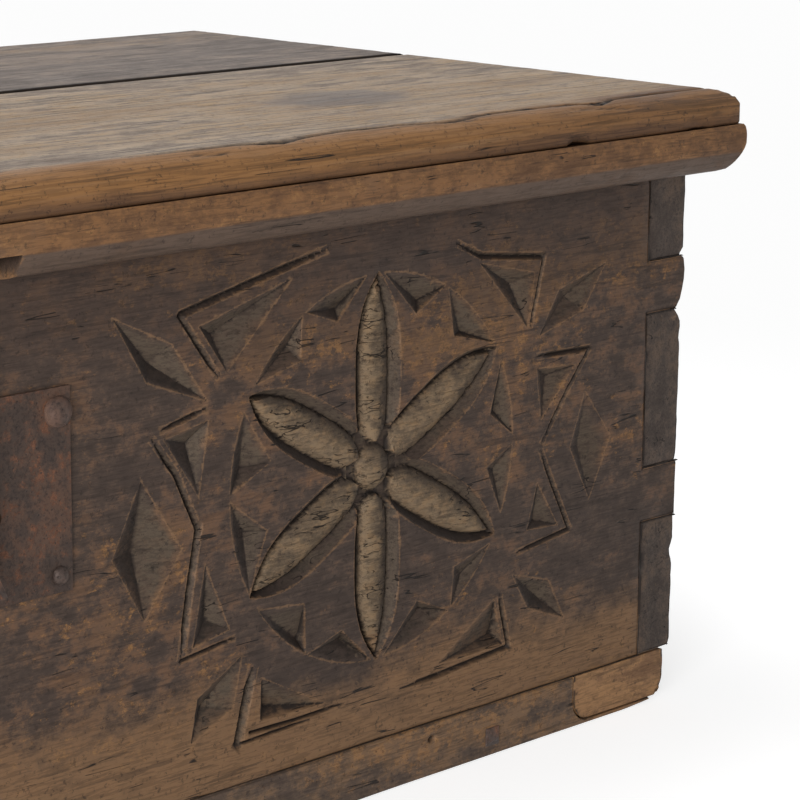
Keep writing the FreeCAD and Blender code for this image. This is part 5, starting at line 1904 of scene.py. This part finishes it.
        def place(along: np.ndarray, out: np.ndarray, drop: np.ndarray) -> np.ndarray:
            """Sets out the moulding in front of the carcass.

            Args:
                along: stations along the front.
                out: reach out from the carcass.
                drop: drop from the lid.

            Returns:
                Places in metres, one row each.
            """
            share = np.clip((np.abs(along) / HALF_LENGTH - 0.5) * 2, 0, 1)
            notched = np.abs(along) < half + 0.1 * MM
            height = LID_Z - np.where(notched, np.minimum(drop, self.notch_drop), drop)
            return np.c_[along + np.sign(along) * (out - self.mitre_lap) * share, FRONT_Y - out, height]

        sides = [sign * (half + step) for sign in (-1, 1) for step in (0, 0.3 * MM)]
        piece = self._moulding(rows(-HALF_LENGTH, HALF_LENGTH, 6 * MM, keep=sides), place)
        piece.wear(uneven(0.25, (70, 9, 9), 71)).bite(MOULDING_DENTS)
        piece.finish("front_moulding_worn", "lid", finish, ["front_moulding"], "moulding_oak", 34)

    def side_moulding(self, side: int, finish: bpy.types.Material) -> None:
        """A side moulding, mitred in front and square behind.

        Args:
            side: 1 on the right, -1 on the left.
            finish: the moulding's finish.
        """

        def place(along: np.ndarray, out: np.ndarray, drop: np.ndarray) -> np.ndarray:
            """Sets out the moulding beside the carcass."""
            share = np.clip((BACK_Y - along) / (BACK_Y - FRONT_Y), 0, 1)
            return np.c_[side * (HALF_LENGTH + out), along - (out - self.mitre_lap) * share, LID_Z - drop]

        piece = self._moulding(rows(FRONT_Y, BACK_Y, 6 * MM), place).wear(uneven(0.25, (9, 70, 9), 72 + side))
        name = "right_moulding" if side > 0 else "left_moulding"
        piece.finish(name + "_worn", "lid", finish, [name], "moulding_oak", 34)

    def batten(self, name: str, finish: bpy.types.Material) -> None:
        """A batten under the lid.

        Args:
            name: the batten's node.
            finish: its finish.
        """
        low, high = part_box(name)
        piece = Workpiece().slab(Plane.TOP, *(rows(low[axis], high[axis], cell, self.batten_edge)
                                              for axis, cell in enumerate((6 * MM, 6 * MM, 4 * MM))))
        piece.round_over(low, high, self.batten_edge, "xXyYz")
        planed = uneven(0.3, (12, 90, 12), 81)
        piece.wear(lambda at: planed(at) * (at[:, 2] < high.z - ON_FACE))
        piece.finish(name + "_planed", "lid", finish, [name], "lid_oak")


# ---- Ironwork --------------------------------------------------------------------------------
@dataclass(frozen=True)
class Nail:
    """A wrought nail driven from the front: where its head sits and how large it is, in metres."""

    place: Triple
    radius: float
    height: float
    length: float = 26 * MM
    shank: float = 2.9 * MM
    point: float = 0.3
    hammering: float = 0.07
    seat: float = 0.12

    def forge(self, piece: Workpiece, seed: int) -> None:
        """Adds the hammered dome and the tapered square shank to a piece.

        Args:
            piece: the piece that gets the nail.
            seed: picks how it is hammered.
        """
        made = bmesh.ops.create_uvsphere(piece.bm, u_segments=20, v_segments=14, radius=1)["verts"]
        ball = np.array([vert.co for vert in made])
        hammered = 1 + self.hammering * fractal(ball, (700, 700, 700), 2, seed)
        out = np.maximum(ball[:, 2], -self.seat) * self.height
        flat = ball[:, :2] * self.radius * hammered[:, None]
        for vert, (across, up), reach in zip(made, flat.tolist(), (out * hammered).tolist()):
            vert.co = (self.place[0] + across, self.place[1] - reach, self.place[2] + up)
        turn = Matrix.Rotation(-math.pi / 2, 4, "X")
        middle = Vector(self.place) + Vector((0, self.length / 2, 0))
        bmesh.ops.create_cone(
            piece.bm, cap_ends=True, segments=4, radius1=self.shank, radius2=self.point * self.shank,
            depth=self.length, matrix=Matrix.Translation(middle) @ turn)


@dataclass
class Ironwork:
    """The plate's forged nails; all other ironwork keeps its node."""

    large: Pair = (9.4 * MM, 6.5 * MM)
    small: Pair = (5.6 * MM, 4 * MM)
    inset: float = 9 * MM
    upper_drop: float = 14 * MM
    lower_rise: float = 10 * MM

    def plate_nails(self, finish: bpy.types.Material) -> None:
        """Two large nails at the plate's top and two small ones below.

        Args:
            finish: the nails' finish.
        """
        low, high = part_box("lock_plate")
        piece = Workpiece()
        for side, x in ((-1, low.x + self.inset), (1, high.x - self.inset)):
            Nail((x, low.y, high.z - self.upper_drop), *self.large).forge(piece, 91 + side)
            Nail((x, low.y, low.z + self.lower_rise), *self.small).forge(piece, 95 + side)
        piece.finish("plate_nails_forged", "chest", finish, ["plate_nails"], "wrought_iron")

    def dress(self, iron: bpy.types.Material, plate: bpy.types.Material) -> None:
        """Gives the nodes that stay their finish.

        Args:
            iron: the finish of most ironwork.
            plate: the lock plate's finish.
        """
        for item in frame["record"]["subparts"]:
            name = item["node"]
            if item["material_slot"] == "wrought_iron" and name != "plate_nails":
                materials = frame["nodes"][name].data.materials
                materials.clear()
                materials.append(plate if name == "lock_plate" else iron)


# ---- Scene -----------------------------------------------------------------------------------
def shaded(tree: bpy.types.NodeTree, kind: str, **values: float | Sequence[float]) -> bpy.types.Node:
    """Adds a shader node to a tree and sets its sockets by name, with _ for a space.

    Args:
        tree: the node tree.
        kind: the node's type.
        values: values of its sockets, by name.

    Returns:
        The node.
    """
    made = tree.nodes.new(kind)
    for key, value in values.items():
        made.inputs[key.replace("_", " ")].default_value = value
    return made


def blended(tree: bpy.types.NodeTree, factor: bpy.types.NodeSocket, one: bpy.types.Node, two: bpy.types.Node
            ) -> bpy.types.Node:
    """A Mix Shader between two shader nodes.

    Args:
        tree: the node tree.
        factor: the second shader's share.
        one: the first shader.
        two: the second shader.

    Returns:
        The Mix Shader.
    """
    made = tree.nodes.new("ShaderNodeMixShader")
    for socket, source in zip(made.inputs, (factor, one.outputs[0], two.outputs[0])):
        tree.links.new(source, socket)
    return made


@dataclass
class Studio:
    """Camera, floor and lights."""

    eye: Triple = (-0.9288, -1.5017, 0.6605)
    heading: float = 0.789131
    tilt: float = 0.222498
    roll: float = 0.0086923
    lens: float = 131.36
    sensor: float = 36
    nearest: float = 0.05
    floor_half: float = 14
    fade: Pair = (0.95, 1.9)
    grey: float = 0.58
    bounce: float = 0.9
    white: float = 0.978
    glow: float = 0.7
    ambient: float = 0.3

    def camera(self) -> None:
        """A long lens from the front left, a little above the lid."""
        data = bpy.data.cameras.new("camera")
        data.lens, data.sensor_width, data.clip_start = self.lens, self.sensor, self.nearest
        camera = put_in("camera", data)
        turn = (Matrix.Rotation(-self.heading, 4, "Z") @ Matrix.Rotation(math.pi / 2 - self.tilt, 4, "X")
                @ Matrix.Rotation(self.roll, 4, "Z"))
        camera.matrix_world = Matrix.Translation(self.eye) @ turn
        bpy.context.scene.camera = camera

    def _seen(self, tree: bpy.types.NodeTree) -> bpy.types.NodeSocket:
        """1 for rays from the camera, a mirror or glass, 0 for light that is scattered.

        Args:
            tree: the world's node tree.

        Returns:
            The socket that says so.
        """
        ray = tree.nodes.new("ShaderNodeLightPath")
        total = ray.outputs["Is Camera Ray"]
        for other in ("Is Glossy Ray", "Is Transmission Ray"):
            most = tree.nodes.new("ShaderNodeMath")
            most.operation = "MAXIMUM"
            tree.links.new(total, most.inputs[0])
            tree.links.new(ray.outputs[other], most.inputs[1])
            total = most.outputs[0]
        return total

    def floor(self) -> None:
        """A wide floor, white where it is looked at, that keeps the chest's shadow near its foot."""
        bm = bmesh.new()
        bmesh.ops.create_grid(bm, x_segments=1, y_segments=1, size=self.floor_half)
        mesh = bpy.data.meshes.new("floor")
        bm.to_mesh(mesh)
        bm.free()
        graph = Graph("floor_paper")
        tree = graph.tree
        reach = graph.node("ShaderNodeVectorMath", {"operation": "LENGTH"}, {0: graph.coordinates()}, "Value")
        for key, value in {"Base Color": (*(self.grey,) * 3, 1), "Roughness": 1, "Specular IOR Level": 0,
                           "Emission Color": (1, 1, 1, 1), "Emission Strength": self.glow}.items():
            graph.shader.inputs[key].default_value = value
        far = shaded(tree, "ShaderNodeEmission", Color=(*(self.white,) * 3, 1))
        bounce = shaded(tree, "ShaderNodeBsdfDiffuse", Color=(*(self.bounce,) * 3, 1))
        fading = blended(tree, reach.band(*self.fade).socket, graph.shader, far)
        seen = blended(tree, self._seen(tree), bounce, fading)
        tree.links.new(seen.outputs[0], graph.output.inputs["Surface"])
        mesh.materials.append(graph.material)
        floor = put_in("floor", mesh)

    def lamp(self, name: str, place: Triple, target: Triple, size: float, power: float) -> None:
        """One square soft box.

        Args:
            name: its name.
            place: where it stands.
            target: what it points at.
            size: the length of its sides.
            power: its power.
        """
        data = bpy.data.lights.new(name, "AREA")
        data.size, data.energy = size, power
        way = Vector(target) - Vector(place)
        turn = way.to_track_quat("-Z", "Y").to_matrix().to_4x4()
        put_in(name, data).matrix_world = Matrix.Translation(place) @ turn

    def lights(self) -> None:
        """A soft box over the lid, another low at the left, and a pale room."""
        self.lamp("top_box", (-0.3, 0.7, 2.7), (0.1, 0.0, 0.3), 1.8, 46)
        self.lamp("left_box", (-2.2, -1.7, 0.7), (0.2, -0.2, 0.2), 1.2, 74)
        world = bpy.data.worlds.new("room")
        world.use_nodes = True
        tree = world.node_tree
        tree.nodes.clear()
        dim, bright = (shaded(tree, "ShaderNodeBackground", Color=(1, 1, 1, 1), Strength=strength)
                       for strength in (self.ambient, self.white))
        room = blended(tree, self._seen(tree), dim, bright)
        tree.links.new(room.outputs[0], tree.nodes.new("ShaderNodeOutputWorld").inputs[0])
        bpy.context.scene.world = world


def main() -> None:
    """Builds the whole scene."""
    logging.basicConfig(level=logging.INFO, format="%(name)s %(message)s")
    bpy.context.scene.view_settings.view_transform = "Standard"
    studio = Studio()
    studio.camera()
    studio.floor()
    studio.lights()
    carcass = Carcass()
    carcass.front_board(FRONT_OAK.material())
    carcass.back_board(BACK_OAK.material())
    side_oak = SIDE_OAK.material()
    for side in (1, -1):
        carcass.side_board(side, side_oak)
    bottom = Bottom()
    bottom.boards(BOTTOM_OAK.material())
    bottom.patch(PATCH_OAK.material())
    lid = Lid()
    lid.front_board(LID_OAK.material())
    lid.rear_board(REAR_LID_OAK.material())
    moulding_oak = MOULDING_OAK.material()
    lid.front_moulding(moulding_oak)
    for side in (1, -1):
        lid.side_moulding(side, moulding_oak)
    batten_oak = INNER_OAK.material()
    for name in ("left_batten", "right_batten"):
        lid.batten(name, batten_oak)
    ironwork = Ironwork()
    ironwork.plate_nails(NAIL_IRON.material())
    ironwork.dress(FORGED_IRON.material(), PLATE_IRON.material())


if __name__ == "__main__":
    main()
